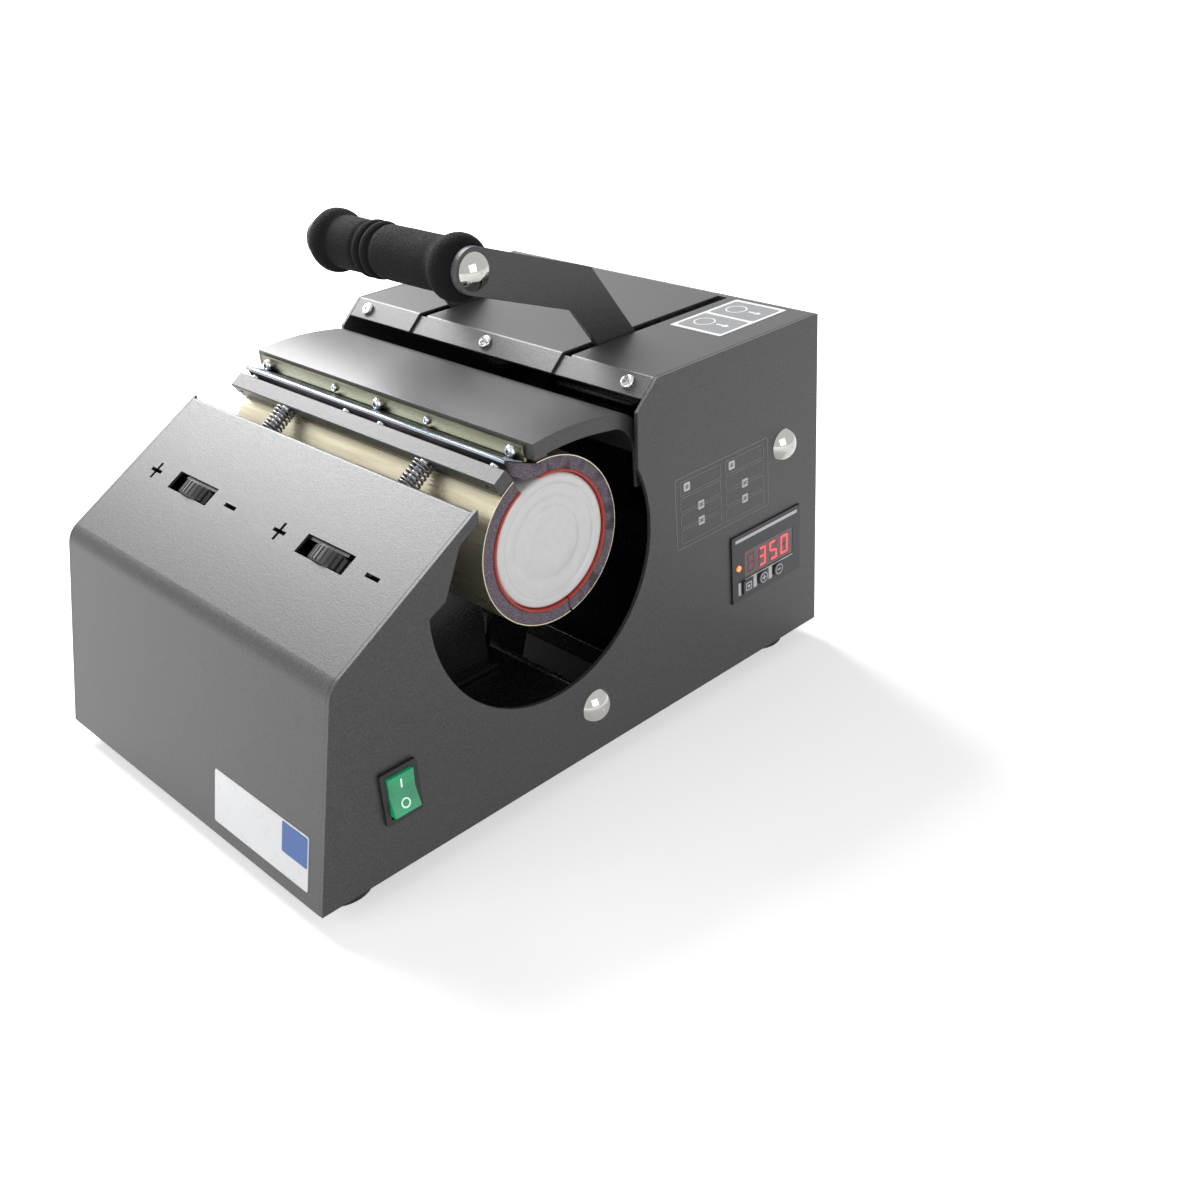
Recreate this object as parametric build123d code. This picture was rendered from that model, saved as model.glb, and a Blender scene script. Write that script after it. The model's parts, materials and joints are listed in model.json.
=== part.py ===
from build123d import *
import math
import os

# Tumbler heat press. Millimetres, +Z up, +X to the right of someone facing the front.
# Y is measured here from the front edge rearwards; every piece is moved on export so that
# the origin is at the middle of the footprint, on the surface that the feet stand on.

# Body shell
BODY_WIDTH = 264.0
BODY_DEPTH = 376.0
BODY_HEIGHT = 210.4
FOOT_HEIGHT = 12.0
SIDE_SHEET = 2.5
COVER_SHEET = 1.5
SEAM = 0.05
BEND_Y = 26.2
BEND_Z = 127.2
BEND_RADIUS = 15.0
NOSE_TIP_Y = 120.2
NOSE_TIP_Z = 182.0
LIP_HEIGHT = 6.5
LIP_RETURN = 15.0
CHAMFER_Y = 228.1
CHAMFER_Z = 195.9
CHAMFER_DEPTH = 15.9
FOLD_RADIUS = 2.0

# Side opening and bay
OPENING_Y = 159.0
OPENING_Z = 134.4
OPENING_RADIUS = 74.5
OPENING_REAR_Y = 226.5
LINER_SHEET = 1.2
FLOOR_GAP = 1.2
FLOOR_END_Y = 170.0
SHIELD_Y = 258.0
SHIELD_HEIGHT = 105.0

# Heater sleeve
SLEEVE_Y = 174.7
SLEEVE_Z = 140.0
SLEEVE_LENGTH = 238.0
TUMBLER_RADIUS = 36.5
TUMBLER_LENGTH = 206.0
TUMBLER_WALL = 2.2
TUMBLER_GAP = 0.4
SILICONE = 1.5
FOAM = 6.8
BAND = 0.6
FRONT_END_ANGLE = 27.0
REAR_END_ANGLE = 6.0
SPLIT_ANGLE = 167.0
SPLIT_GAP_ANGLE = 1.5

# Tension bar, bolts, springs and thumbwheels
BAR_Y = 145.3
BAR_Z = 184.15
BAR_ALONG = 9.8
BAR_DEEP = 7.8
BAR_LENGTH = 242.8
CLAMP_STRIP = 3.0
BOLT_SLOPE = 34.0
BOLT_RADIUS = 3.0
BOLT_X = 64.5
BOLT_TAIL = 83.0
SPRING_COILS = 8
SPRING_WIRE = 1.9
SPRING_RADIUS = 5.3
SPRING_SEAT = 37.0
BRACKET_SHEET = 3.0
WHEEL_BACK = 75.5
WHEEL_GAP = 0.2
WHEEL_RADIUS = 18.5
WHEEL_WIDTH = 9.5
WHEEL_FLUTES = 36
WHEEL_SLOT = 41.0
SLOT_MARGIN = 1.2

# Shafts, handle and jaw
JAW_PIVOT_Y = 185.0
JAW_PIVOT_Z = 40.0
HANDLE_PIVOT_Y = BODY_DEPTH - 30.0
HANDLE_PIVOT_Z = 140.0
SHAFT_RADIUS = 6.0
RUNNING_GAP = 0.05
CAP_RADIUS = 10.0
CAP_HEIGHT = 6.0
ARM_X = 62.0
ARM_SHEET = 4.0
ARM_WIDTH = 24.4
GRIP_Y = 185.2
GRIP_Z = 269.5
ARM_BEND_Y = 256.6
ARM_BEND_Z = 243.4
ARM_KNEE_Y = 298.0
ARM_KNEE_Z = 184.0
ARM_SLOT_GAP = 1.8
TOP_SLOT_REAR_Y = BODY_DEPTH - 4.0
GRIP_RADIUS = 14.4
GRIP_BULGE_RADIUS = 17.4
ROD_RADIUS = 7.0
HANDLE_TUBE_RADIUS = 8.4
CRANK_RADIUS = 19.5
CRANK_ANGLE = 20.0
LINK_PIN_Y = 45.0
LINK_PIN_Z = 112.0
LINK_SHEET = 4.0
LINK_GAP = 1.2
LINK_WIDTH = 13.0
LINK_PIN_RADIUS = 3.5
OPEN_PIVOT_GAP = 1.8
JAW_ARM_SHEET = 4.0
JAW_HUB_RADIUS = 13.0

# Jaw cover
JAW_HALF = 125.1
JAW_SHEET = 2.0
JAW_FRONT_Y = 163.0
JAW_TOP_Z = 199.0
JAW_LIP = 9.0
JAW_CROWN_Y = 190.0
JAW_CROWN_Z = JAW_TOP_Z + 1.3
JAW_BACK_Y = 216.0
JAW_BACK_Z = JAW_TOP_Z - 1.4
JAW_FALL_Y = 233.0
JAW_FALL_Z = JAW_TOP_Z - 9.5
JAW_REAR_Y = 239.5
JAW_KNEE_Z = JAW_TOP_Z - 25.0
JAW_REAR_LOW = JAW_KNEE_Z - 6.0
JAW_END_LOW = JAW_KNEE_Z - 22.0
JAW_END_DEPTH = 8.5

# Controls
SWITCH_Y = 53.4
SWITCH_Z = 56.8
ROCKER_TILT = 7.0
SWITCH_DEEP = 22.0
SWITCH_TALL = 30.0
PANEL_Y = BODY_DEPTH - 48.0
PANEL_Z = 76.5
PANEL_LONG = 62.0
PANEL_TALL = 43.0
WINDOW_Y = PANEL_Y + 2.0
WINDOW_Z = 77.0
WINDOW_LONG = 44.0
WINDOW_TALL = 17.0
KEY_RADIUS = 4.2
KEY_PITCH = 14.0
KEY_Z = 63.0
INLET_X = 70.0
INLET_Z = 46.0
INLET_PROUD = 2.5
INLET_WIDE = 48.0
INLET_TALL = 28.0
FOOT_RADIUS = 19.0
FOOT_X = 104.0
FOOT_FRONT_Y = 27.0
FOOT_REAR_Y = BODY_DEPTH - 27.0

# Worked out from the sizes above
OVERALL_DEPTH = BODY_DEPTH + INLET_PROUD
HALF = BODY_WIDTH / 2
INNER = HALF - SIDE_SHEET
COVER_HALF = INNER - SEAM
SILICONE_IN = TUMBLER_RADIUS + TUMBLER_GAP
SILICONE_OUT = SILICONE_IN + SILICONE
FOAM_OUT = SILICONE_OUT + FOAM
BAND_OUT = FOAM_OUT + BAND
SLOPE = math.degrees(math.atan2(NOSE_TIP_Z - BEND_Z, NOSE_TIP_Y - BEND_Y))
LEAN = math.degrees(math.atan2(BEND_Y, BEND_Z - FOOT_HEIGHT))
CHAMFER_TOP_Y = CHAMFER_Y + CHAMFER_DEPTH
FLOOR_Z = OPENING_Z - OPENING_RADIUS - FLOOR_GAP
BORE_RADIUS = SHAFT_RADIUS + RUNNING_GAP

os.makedirs("parts", exist_ok=True)


def save(name, *solids):
    """Writes one node, moved so that the origin is in the middle of the footprint."""
    placed = [Pos(0, -OVERALL_DEPTH / 2, 0) * solid for solid in solids]
    group = placed[0] if len(placed) == 1 else Compound(children=placed)
    export_step(group, f"parts/{name}.step")


def slab(face, x_low, x_high):
    """A face drawn in (Y, Z), made solid from x_low to x_high."""
    return extrude(Plane.YZ.offset(x_low) * face, amount=x_high - x_low)


def polygon(*points):
    return make_face(Polyline(*points, close=True))


def folded(points, radius, thickness, side):
    """The cross-section of a folded sheet whose outer skin follows the points."""
    path = FilletPolyline(*points, radius=radius)
    return make_face(offset(path, amount=thickness, side=side, closed=True))


def rod(radius, x_low, x_high, y, z):
    return slab(Pos(y, z) * Circle(radius), x_low, x_high)


def polar(angle, radius, y=SLEEVE_Y, z=SLEEVE_Z):
    """A point at an angle from straight up, positive rearwards."""
    turn = math.radians(angle)
    return (y + radius * math.sin(turn), z + radius * math.cos(turn))


def ring_sector(inner, outer, start, end):
    """Part of a ring round the sleeve's centre, between two angles from straight up."""
    middle = (start + end) / 2
    face = make_face(
        [
            ThreePointArc(polar(start, outer), polar(middle, outer), polar(end, outer)),
            Line(polar(end, outer), polar(end, inner)),
            ThreePointArc(polar(end, inner), polar(middle, inner), polar(start, inner)),
            Line(polar(start, inner), polar(start, outer)),
        ]
    )
    return face


def both_sides(solid):
    """A piece and its mirror image on the other side."""
    return solid, mirror(solid, about=Plane.YZ)


def bolt_plane(along, x=0.0):
    """A plane square to the tension bolts, at a distance along them from the bar."""
    turn = math.radians(BOLT_SLOPE)
    origin = (x, BAR_Y + along * math.cos(turn), BAR_Z + along * math.sin(turn))
    return Plane(origin=origin, x_dir=(-1, 0, 0), z_dir=(0, math.cos(turn), math.sin(turn)))


def bolt_rod(radius, start, end, x):
    return extrude(bolt_plane(start, x) * Circle(radius), amount=end - start)


def slope_plane(along, x=0.0):
    """A plane in the sloping top of the nose, at a distance up it from the front bend."""
    turn = math.radians(SLOPE)
    origin = (x, BEND_Y + along * math.cos(turn), BEND_Z + along * math.sin(turn))
    return Plane(origin=origin, x_dir=(1, 0, 0), z_dir=(0, -math.sin(turn), math.cos(turn)))


def screw_head(radius, height, socket):
    """A button head with a hexagon socket, standing on Z = 0."""
    head = Cylinder(radius, height, align=(Align.CENTER, Align.CENTER, Align.MIN))
    head = fillet(head.edges().group_by(Axis.Z)[-1], height * 0.6)
    return head - Pos(0, 0, height * 0.4) * extrude(RegularPolygon(socket, 6), amount=height)


def strip_outline(points, width):
    """A strip of one width along a bent path, with mitred bends."""
    left, right = [], []
    turns = [math.atan2(b[1] - a[1], b[0] - a[0]) for a, b in zip(points[:-1], points[1:])]
    for number, point in enumerate(points):
        before = turns[max(number - 1, 0)]
        after = turns[min(number, len(turns) - 1)]
        reach = width / 2 / math.cos((after - before) / 2)
        normal = (before + after) / 2 + math.pi / 2
        left.append((point[0] + reach * math.cos(normal), point[1] + reach * math.sin(normal)))
        right.append((point[0] - reach * math.cos(normal), point[1] - reach * math.sin(normal)))
    return polygon(*left, *reversed(right))


def cap_dome(radius, height, bore):
    """A domed push-on cap, open below for the end of a shaft."""
    ball = (radius**2 + height**2) / (2 * height)
    dome = Pos(0, 0, height - ball) * Sphere(ball) & Pos(0, 0, height) * Box(
        4 * radius, 4 * radius, 2 * height
    )
    return dome - Cylinder(bore, height)


# Outline of a side plate
front_foot = (0, FOOT_HEIGHT)
tip = (NOSE_TIP_Y, NOSE_TIP_Z)
lip_low = (NOSE_TIP_Y, NOSE_TIP_Z - LIP_HEIGHT)
return_turn = math.radians(SLOPE)
lip_back = (
    lip_low[0] - LIP_RETURN * math.cos(return_turn),
    lip_low[1] - LIP_RETURN * math.sin(return_turn),
)
liner_knee = (95.2, 143.2)
arc_start = (OPENING_Y - OPENING_RADIUS * math.cos(math.radians(3)),
             OPENING_Z + OPENING_RADIUS * math.sin(math.radians(3)))
rear_rise = OPENING_REAR_Y - OPENING_Y
arc_end = (OPENING_REAR_Y, OPENING_Z + math.sqrt(OPENING_RADIUS**2 - rear_rise**2))
chamfer_low = (CHAMFER_Y, CHAMFER_Z)
chamfer_top = (CHAMFER_TOP_Y, BODY_HEIGHT)

side_outline = make_face(
    [
        FilletPolyline(front_foot, (BEND_Y, BEND_Z), tip, radius=BEND_RADIUS),
        Polyline(tip, lip_low, lip_back, liner_knee, arc_start),
        ThreePointArc(arc_start, (OPENING_Y, OPENING_Z - OPENING_RADIUS), arc_end),
        Polyline(arc_end, chamfer_low, chamfer_top, (BODY_DEPTH, BODY_HEIGHT),
                 (BODY_DEPTH, FOOT_HEIGHT), front_foot),
    ]
)
side_plate = slab(side_outline, INNER, HALF)
for pivot_y, pivot_z in ((JAW_PIVOT_Y, JAW_PIVOT_Z), (HANDLE_PIVOT_Y, HANDLE_PIVOT_Z)):
    side_plate -= rod(SHAFT_RADIUS, INNER - 1, HALF + 1, pivot_y, pivot_z)
save("side_plate_left", mirror(side_plate, about=Plane.YZ))

switch_hole = Pos(HALF, SWITCH_Y, SWITCH_Z) * Box(4 * SIDE_SHEET, SWITCH_DEEP - 2, SWITCH_TALL - 2)
panel_hole = Pos(HALF, PANEL_Y, PANEL_Z) * Box(4 * SIDE_SHEET, PANEL_LONG - 6, PANEL_TALL - 6)
save("side_plate_right", side_plate - switch_hole - panel_hole)

# Nose cover with its thumbwheel slots and plus and minus cut-outs
nose_face = folded(
    [front_foot, (BEND_Y, BEND_Z), tip, lip_low, lip_back],
    [BEND_RADIUS, FOLD_RADIUS, FOLD_RADIUS],
    COVER_SHEET,
    Side.LEFT,
)
nose_cover = slab(nose_face, -COVER_HALF, COVER_HALF)
wheel_back = math.cos(math.radians(BOLT_SLOPE - SLOPE)) * WHEEL_BACK
bar_up = (BAR_Y - BEND_Y) * math.cos(return_turn) + (BAR_Z - BEND_Z) * math.sin(return_turn)
wheel_along = bar_up - wheel_back
slot_width = WHEEL_WIDTH + 2 * SLOT_MARGIN
sign_offset = WHEEL_SLOT
for wheel_x in (-BOLT_X, BOLT_X):
    slots = Rectangle(WHEEL_SLOT, slot_width)
    slots += Pos(-sign_offset, 0) * Rectangle(2.2, 11)
    slots += Pos(-sign_offset, 0) * Rectangle(11, 2.2)
    slots += Pos(sign_offset * 0.97, 0) * Rectangle(11, 2.4)
    nose_cover -= extrude(slope_plane(wheel_along, wheel_x) * slots, amount=4, both=True)
save("nose_cover", nose_cover)

# Base plate with upturned edges
base = Pos(0, BODY_DEPTH / 2, FOOT_HEIGHT + COVER_SHEET / 2) * Box(
    2 * COVER_HALF, BODY_DEPTH - 4 * COVER_SHEET - 2 * SEAM, COVER_SHEET
)
for side_x in (-1, 1):
    base += Pos(side_x * (COVER_HALF - COVER_SHEET / 2), BODY_DEPTH / 2 + 6, FOOT_HEIGHT + 6) * Box(
        COVER_SHEET, BODY_DEPTH - 40, 12
    )

# Bay liner: the painted wall and floor behind and below the sleeve
liner_points = [
    (lip_back[0] - SEAM, lip_back[1]),
    (liner_knee[0] - SEAM, liner_knee[1]),
    (OPENING_Y - OPENING_RADIUS - FLOOR_GAP, OPENING_Z),
    (OPENING_Y - OPENING_RADIUS - FLOOR_GAP, OPENING_Z - 42),
    (OPENING_Y - 44, FLOOR_Z),
    (FLOOR_END_Y, FLOOR_Z),
]
liner = slab(folded(liner_points, FOLD_RADIUS, LINER_SHEET, Side.RIGHT), -COVER_HALF, COVER_HALF)
for bolt_x in (-BOLT_X, BOLT_X):
    liner -= bolt_rod(BOLT_RADIUS + 2, -BOLT_TAIL, 0, bolt_x)
    liner -= bolt_rod(WHEEL_RADIUS + 2, -WHEEL_BACK - WHEEL_WIDTH, -WHEEL_BACK + WHEEL_WIDTH, bolt_x)
save("bay_liner", liner)

# Rear shell
slot_low = ARM_X - ARM_SLOT_GAP
slot_wide = ARM_SHEET + 2 * ARM_SLOT_GAP
lip_share = 0.62
chamfer_lip = (
    CHAMFER_TOP_Y - CHAMFER_DEPTH * lip_share,
    BODY_HEIGHT - (BODY_HEIGHT - CHAMFER_Z) * lip_share,
)
top_face = folded(
    [chamfer_lip, chamfer_top, (BODY_DEPTH - COVER_SHEET - SEAM, BODY_HEIGHT)],
    FOLD_RADIUS,
    COVER_SHEET,
    Side.RIGHT,
)
top_cover = slab(top_face, -COVER_HALF, COVER_HALF)
slot_front = CHAMFER_Y
slot_cut = 20.0
for side_x in (-1, 1):
    top_cover -= Pos(
        side_x * (slot_low + slot_wide / 2), (slot_front + TOP_SLOT_REAR_Y) / 2, BODY_HEIGHT
    ) * Box(slot_wide, TOP_SLOT_REAR_Y - slot_front, 2 * slot_cut)
chamfer_turn = math.atan2(BODY_HEIGHT - CHAMFER_Z, CHAMFER_DEPTH)
lip_normal = (0, -math.sin(chamfer_turn), math.cos(chamfer_turn))
lip_middle = ((chamfer_lip[0] + CHAMFER_TOP_Y) / 2, (chamfer_lip[1] + BODY_HEIGHT) / 2)


def lip_plane(x, depth=0.0):
    """A plane in the chamfered lip, or a depth below it."""
    origin = (x, lip_middle[0] - lip_normal[1] * depth, lip_middle[1] - lip_normal[2] * depth)
    return Plane(origin=origin, x_dir=(1, 0, 0), z_dir=lip_normal)


lip_screws = []
lip_screw_x = 115.2
for screw_x in (-lip_screw_x, 0, lip_screw_x):
    lip_screws.append(lip_plane(screw_x) * screw_head(4.2, 2.4, 1.5))
save("lip_screws", *lip_screws)
save("top_cover", top_cover)

# Angle strip that the three lips are screwed to
strip_plane = lip_plane(0, COVER_SHEET + 1 + SEAM)
top_crossmember = strip_plane * Box(2 * COVER_HALF, 12, 2)
save("top_crossmember", top_crossmember)

# Rear panel with its vents and inlet
rear_panel = Pos(0, BODY_DEPTH - COVER_SHEET / 2, (FOOT_HEIGHT + BODY_HEIGHT) / 2) * Box(
    2 * COVER_HALF, COVER_SHEET, BODY_HEIGHT - FOOT_HEIGHT
)
vent_count = 9
vent_pitch = 9.0
for vent in range(vent_count):
    vent_x = -INLET_X + (vent - (vent_count - 1) / 2) * vent_pitch
    rear_panel -= Pos(vent_x, BODY_DEPTH, 70) * Box(3.5, 10, 44)
socket_wide = 27.0
socket_tall = 19.0
rear_panel -= Pos(INLET_X, BODY_DEPTH, INLET_Z) * Box(socket_wide, 10, socket_tall)
save("rear_panel", rear_panel)
rear_screws = []
rear_screw_inset = 14.0
rear_screw_x = HALF - rear_screw_inset
for screw_x in (-rear_screw_x, 0, rear_screw_x):
    for screw_z in (FOOT_HEIGHT + rear_screw_inset, BODY_HEIGHT - rear_screw_inset):
        rear_screws.append(
            Pos(screw_x, BODY_DEPTH, screw_z) * Rot(-90, 0, 0) * screw_head(3.8, 2.2, 1.4)
        )
save("rear_screws", *rear_screws)

# Partition between the bay and the electronics
shield_base = FOOT_HEIGHT + COVER_SHEET
shield_face = folded(
    [(SHIELD_Y - 15, shield_base), (SHIELD_Y, shield_base), (SHIELD_Y, shield_base + SHIELD_HEIGHT)],
    FOLD_RADIUS,
    LINER_SHEET,
    Side.LEFT,
)
save("electronics_shield", slab(shield_face, 2 * COVER_SHEET - COVER_HALF, COVER_HALF - 2 * COVER_SHEET))

# Brackets that carry the tension bolts inside the nose
def bolt_depth(along):
    """How far the sloping skin, or with LIP_HEIGHT taken off the lip, is above a bolt."""
    bar_drop = (BAR_Y - BEND_Y) * math.sin(return_turn) - (BAR_Z - BEND_Z) * math.cos(return_turn)
    lean = math.radians(BOLT_SLOPE - SLOPE)
    return (bar_drop - along * math.sin(lean)) / math.cos(lean)


def bracket(along, low, high):
    """A plate square to both bolts, from low to high above their axis."""
    plate = Box(2 * (BOLT_X + 14), high - low, BRACKET_SHEET)
    return bolt_plane(along) * (Pos(0, (low + high) / 2) * plate)


lip_drop = LIP_HEIGHT * math.cos(return_turn)
seat_mid = -SPRING_SEAT - BRACKET_SHEET / 2
seat_high = bolt_depth(-SPRING_SEAT) - lip_drop - SEAM
spring_bracket = bracket(seat_mid, -7.5, seat_high)
wheel_face = WHEEL_BACK - WHEEL_WIDTH / 2 - WHEEL_GAP
wheel_mid = -wheel_face + BRACKET_SHEET / 2
wheel_high = bolt_depth(wheel_mid + BRACKET_SHEET / 2) - COVER_SHEET - SEAM
wheel_bracket = bracket(wheel_mid, -4.5, wheel_high)
for bolt_x in (-BOLT_X, BOLT_X):
    spring_bracket -= bolt_rod(BOLT_RADIUS, -SPRING_SEAT - 10, -SPRING_SEAT + 5, bolt_x)
    wheel_bracket -= bolt_rod(BOLT_RADIUS, -wheel_face - 10, -wheel_face + 10, bolt_x)
save("spring_bracket", spring_bracket)
save("wheel_bracket", wheel_bracket)

# Tension bar, its bolts and the strip that clamps the front end of the band
bar_solid = bolt_plane(0) * Box(BAR_LENGTH, BAR_DEEP, BAR_ALONG)
bar_solid = chamfer(bar_solid.edges().filter_by(Axis.X), 0.6)
bolt_solids = []
for bolt_x in (-BOLT_X, BOLT_X):
    bar_solid -= bolt_rod(BOLT_RADIUS, -BAR_ALONG, 2, bolt_x)
    bolt_solids.append(bolt_rod(BOLT_RADIUS, -BOLT_TAIL, 2, bolt_x))
for end_x in (-1, 1):
    bar_solid -= bolt_rod(1.4, -BAR_ALONG / 2 - 1, -BAR_ALONG / 2 + 4, end_x * (BAR_LENGTH / 2 - 8))
save("tension_bar", bar_solid)
save("tension_bolts", *bolt_solids)
clamp_drop = (BAR_DEEP + CLAMP_STRIP) / 2
clamp = Box(SLEEVE_LENGTH, CLAMP_STRIP, BAR_ALONG)
save("band_clamp", bolt_plane(0) * (Pos(0, -clamp_drop) * clamp))


def spring(x):
    """A compression spring on a tension bolt, swept along a helix of quarter-turn arcs."""
    free = SPRING_SEAT - BAR_ALONG / 2 - SPRING_WIRE - 0.2
    quarters = SPRING_COILS * 4
    rise = free / quarters
    points = []
    for quarter in range(2 * quarters + 1):
        turn = math.pi / 4 * quarter
        points.append(
            Vector(SPRING_RADIUS * math.cos(turn), SPRING_RADIUS * math.sin(turn), rise / 2 * quarter)
        )
    arcs = [
        ThreePointArc(points[2 * k], points[2 * k + 1], points[2 * k + 2]) for k in range(quarters)
    ]
    path = Wire(arcs)
    start = Plane(origin=points[0], z_dir=arcs[0] % 0)
    coil = sweep(start * Circle(SPRING_WIRE / 2), path=path)
    gap = free / SPRING_COILS - SPRING_WIRE
    print(f"spring: {SPRING_COILS} coils, least gap between turns {gap:.2f} mm")
    seat = bolt_plane(-SPRING_SEAT + SPRING_WIRE / 2 + 0.1, x)
    return seat * coil


save("tension_springs", spring(-BOLT_X), spring(BOLT_X))

# Thumbwheels: fluted nuts on the bolts
rim = Cylinder(WHEEL_RADIUS, WHEEL_WIDTH)
rim = chamfer(rim.edges().filter_by(GeomType.CIRCLE), 1.0)
wheel_outline = Circle(WHEEL_RADIUS)
for place in PolarLocations(WHEEL_RADIUS, WHEEL_FLUTES):
    wheel_outline -= place * Rectangle(1.1, 1.1, rotation=45)
wheel = extrude(wheel_outline, amount=WHEEL_WIDTH / 2, both=True) & rim
wheel -= Cylinder(BOLT_RADIUS + RUNNING_GAP, WHEEL_WIDTH + 2)
save("thumbwheel_left", bolt_plane(-WHEEL_BACK, -BOLT_X) * wheel)
save("thumbwheel_right", bolt_plane(-WHEEL_BACK, BOLT_X) * wheel)

# Heater sleeve, split into a fixed front half and a rear half that goes with the jaw
front_start = SPLIT_ANGLE + SPLIT_GAP_ANGLE
front_end = 360 - FRONT_END_ANGLE
half_sleeve = SLEEVE_LENGTH / 2


def sleeve_layer(inner, outer, start, end, inset):
    return slab(ring_sector(inner, outer, start, end), inset - half_sleeve, half_sleeve - inset)


save("silicone_front", sleeve_layer(SILICONE_IN, SILICONE_OUT, front_start, front_end, 0))
save("foam_front", sleeve_layer(SILICONE_OUT, FOAM_OUT, front_start, front_end, 0.5))
save("band_front", sleeve_layer(FOAM_OUT, BAND_OUT, front_start, front_end, 0.5))
save("silicone_rear", sleeve_layer(SILICONE_IN, SILICONE_OUT, -REAR_END_ANGLE, SPLIT_ANGLE, 0))
ear = polygon(
    polar(-REAR_END_ANGLE, SILICONE_OUT),
    (161.5, 178.6),
    (153.0, 184.3),
    (149.8, 192.6),
    (159.6, 188.4),
    polar(-REAR_END_ANGLE, FOAM_OUT),
)
foam_rear = ring_sector(SILICONE_OUT, FOAM_OUT, -REAR_END_ANGLE, SPLIT_ANGLE) + ear
save("foam_rear", slab(foam_rear, 0.5 - half_sleeve, half_sleeve - 0.5))
save("band_rear", sleeve_layer(FOAM_OUT, BAND_OUT, -REAR_END_ANGLE, SPLIT_ANGLE, 0.5))

# Cradles under the front half of the sleeve
cradle_front = SLEEVE_Y - 56.7
cradle_long = 40.0
cradle_rear = cradle_front + cradle_long
cradle_top = SLEEVE_Z + 12
cradle_base = FLOOR_Z + LINER_SHEET
cradle_x = 72.0
cradle_sheet = 3.0
foot_wide = 12.0
foot_sheet = 2.0
cradle = polygon(
    (cradle_front, cradle_base),
    (cradle_rear, cradle_base),
    (cradle_rear, SLEEVE_Z - 20),
    (cradle_front + 6, cradle_top),
    (cradle_front, cradle_top),
)
cradle -= Pos(SLEEVE_Y, SLEEVE_Z) * Circle(BAND_OUT)
cradle_solid = slab(cradle, cradle_x, cradle_x + cradle_sheet)
cradle_foot = Pos(
    cradle_x + foot_wide / 2, cradle_front + cradle_long / 2, cradle_base + foot_sheet / 2
) * Box(foot_wide, cradle_long, foot_sheet)
cradle_left, cradle_right = both_sides(cradle_solid + cradle_foot)
save("cradle_left", cradle_right)
save("cradle_right", cradle_left)

# Shafts across the body with their domed caps
shaft_half = HALF + CAP_HEIGHT * 0.5
caps = []
for name, pivot_y, pivot_z in (
    ("jaw_shaft", JAW_PIVOT_Y, JAW_PIVOT_Z),
    ("handle_shaft", HANDLE_PIVOT_Y, HANDLE_PIVOT_Z),
):
    save(name, rod(SHAFT_RADIUS, -shaft_half, shaft_half, pivot_y, pivot_z))
    dome = cap_dome(CAP_RADIUS, CAP_HEIGHT, SHAFT_RADIUS)
    for side in (1, -1):
        caps.append(Pos(side * HALF, pivot_y, pivot_z) * Rot(0, side * 90, 0) * dome)
save("shaft_caps", *caps)

# Handle: two bent arms, a tube on the shaft, a rod with a foam grip, caps and crank pins
arm_path = [
    (GRIP_Y, GRIP_Z),
    (ARM_BEND_Y, ARM_BEND_Z),
    (ARM_KNEE_Y, ARM_KNEE_Z),
    (HANDLE_PIVOT_Y, HANDLE_PIVOT_Z),
]
crank_turn = math.radians(CRANK_ANGLE)
crank_y = HANDLE_PIVOT_Y - CRANK_RADIUS * math.sin(crank_turn)
crank_z = HANDLE_PIVOT_Z + CRANK_RADIUS * math.cos(crank_turn)
arm_face = strip_outline(arm_path, ARM_WIDTH)
arm_face += Pos(GRIP_Y, GRIP_Z) * Circle(ARM_WIDTH / 2)
arm_face += Pos(HANDLE_PIVOT_Y, HANDLE_PIVOT_Z) * Circle(ARM_WIDTH / 2 + 4)
arm_face += Pos(crank_y, crank_z) * Circle(LINK_PIN_RADIUS + 4.5)
arm_solid = slab(arm_face, ARM_X, ARM_X + ARM_SHEET)
arm_solid -= rod(BORE_RADIUS, ARM_X - 1, ARM_X + ARM_SHEET + 1, HANDLE_PIVOT_Y, HANDLE_PIVOT_Z)
arm_solid -= rod(ROD_RADIUS - 1, ARM_X - 1, ARM_X + ARM_SHEET + 1, GRIP_Y, GRIP_Z)
arm_solid -= rod(LINK_PIN_RADIUS, ARM_X - 1, ARM_X + ARM_SHEET + 1, crank_y, crank_z)
arm_right, arm_left = both_sides(arm_solid)
save("handle_arm_left", arm_left)
save("handle_arm_right", arm_right)
tube_face = Circle(HANDLE_TUBE_RADIUS) - Circle(BORE_RADIUS)
save("handle_tube", slab(Pos(HANDLE_PIVOT_Y, HANDLE_PIVOT_Z) * tube_face, -ARM_X, ARM_X))
grip_rod = rod(ROD_RADIUS, -ARM_X, ARM_X, GRIP_Y, GRIP_Z)
grip_rod += rod(ROD_RADIUS - 1, -ARM_X - ARM_SHEET - 3, ARM_X + ARM_SHEET + 3, GRIP_Y, GRIP_Z)
save("grip_rod", grip_rod)
grip_caps = []
for side in (1, -1):
    dome = cap_dome(CAP_RADIUS, CAP_HEIGHT, ROD_RADIUS - 1)
    grip_caps.append(Pos(side * (ARM_X + ARM_SHEET), GRIP_Y, GRIP_Z) * Rot(0, side * 90, 0) * dome)
save("grip_caps", *grip_caps)
grip_end = ARM_X - 0.3
bulge_in = 45.5
groove = GRIP_RADIUS - 1.2
ring_top = GRIP_RADIUS + 1.0
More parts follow.
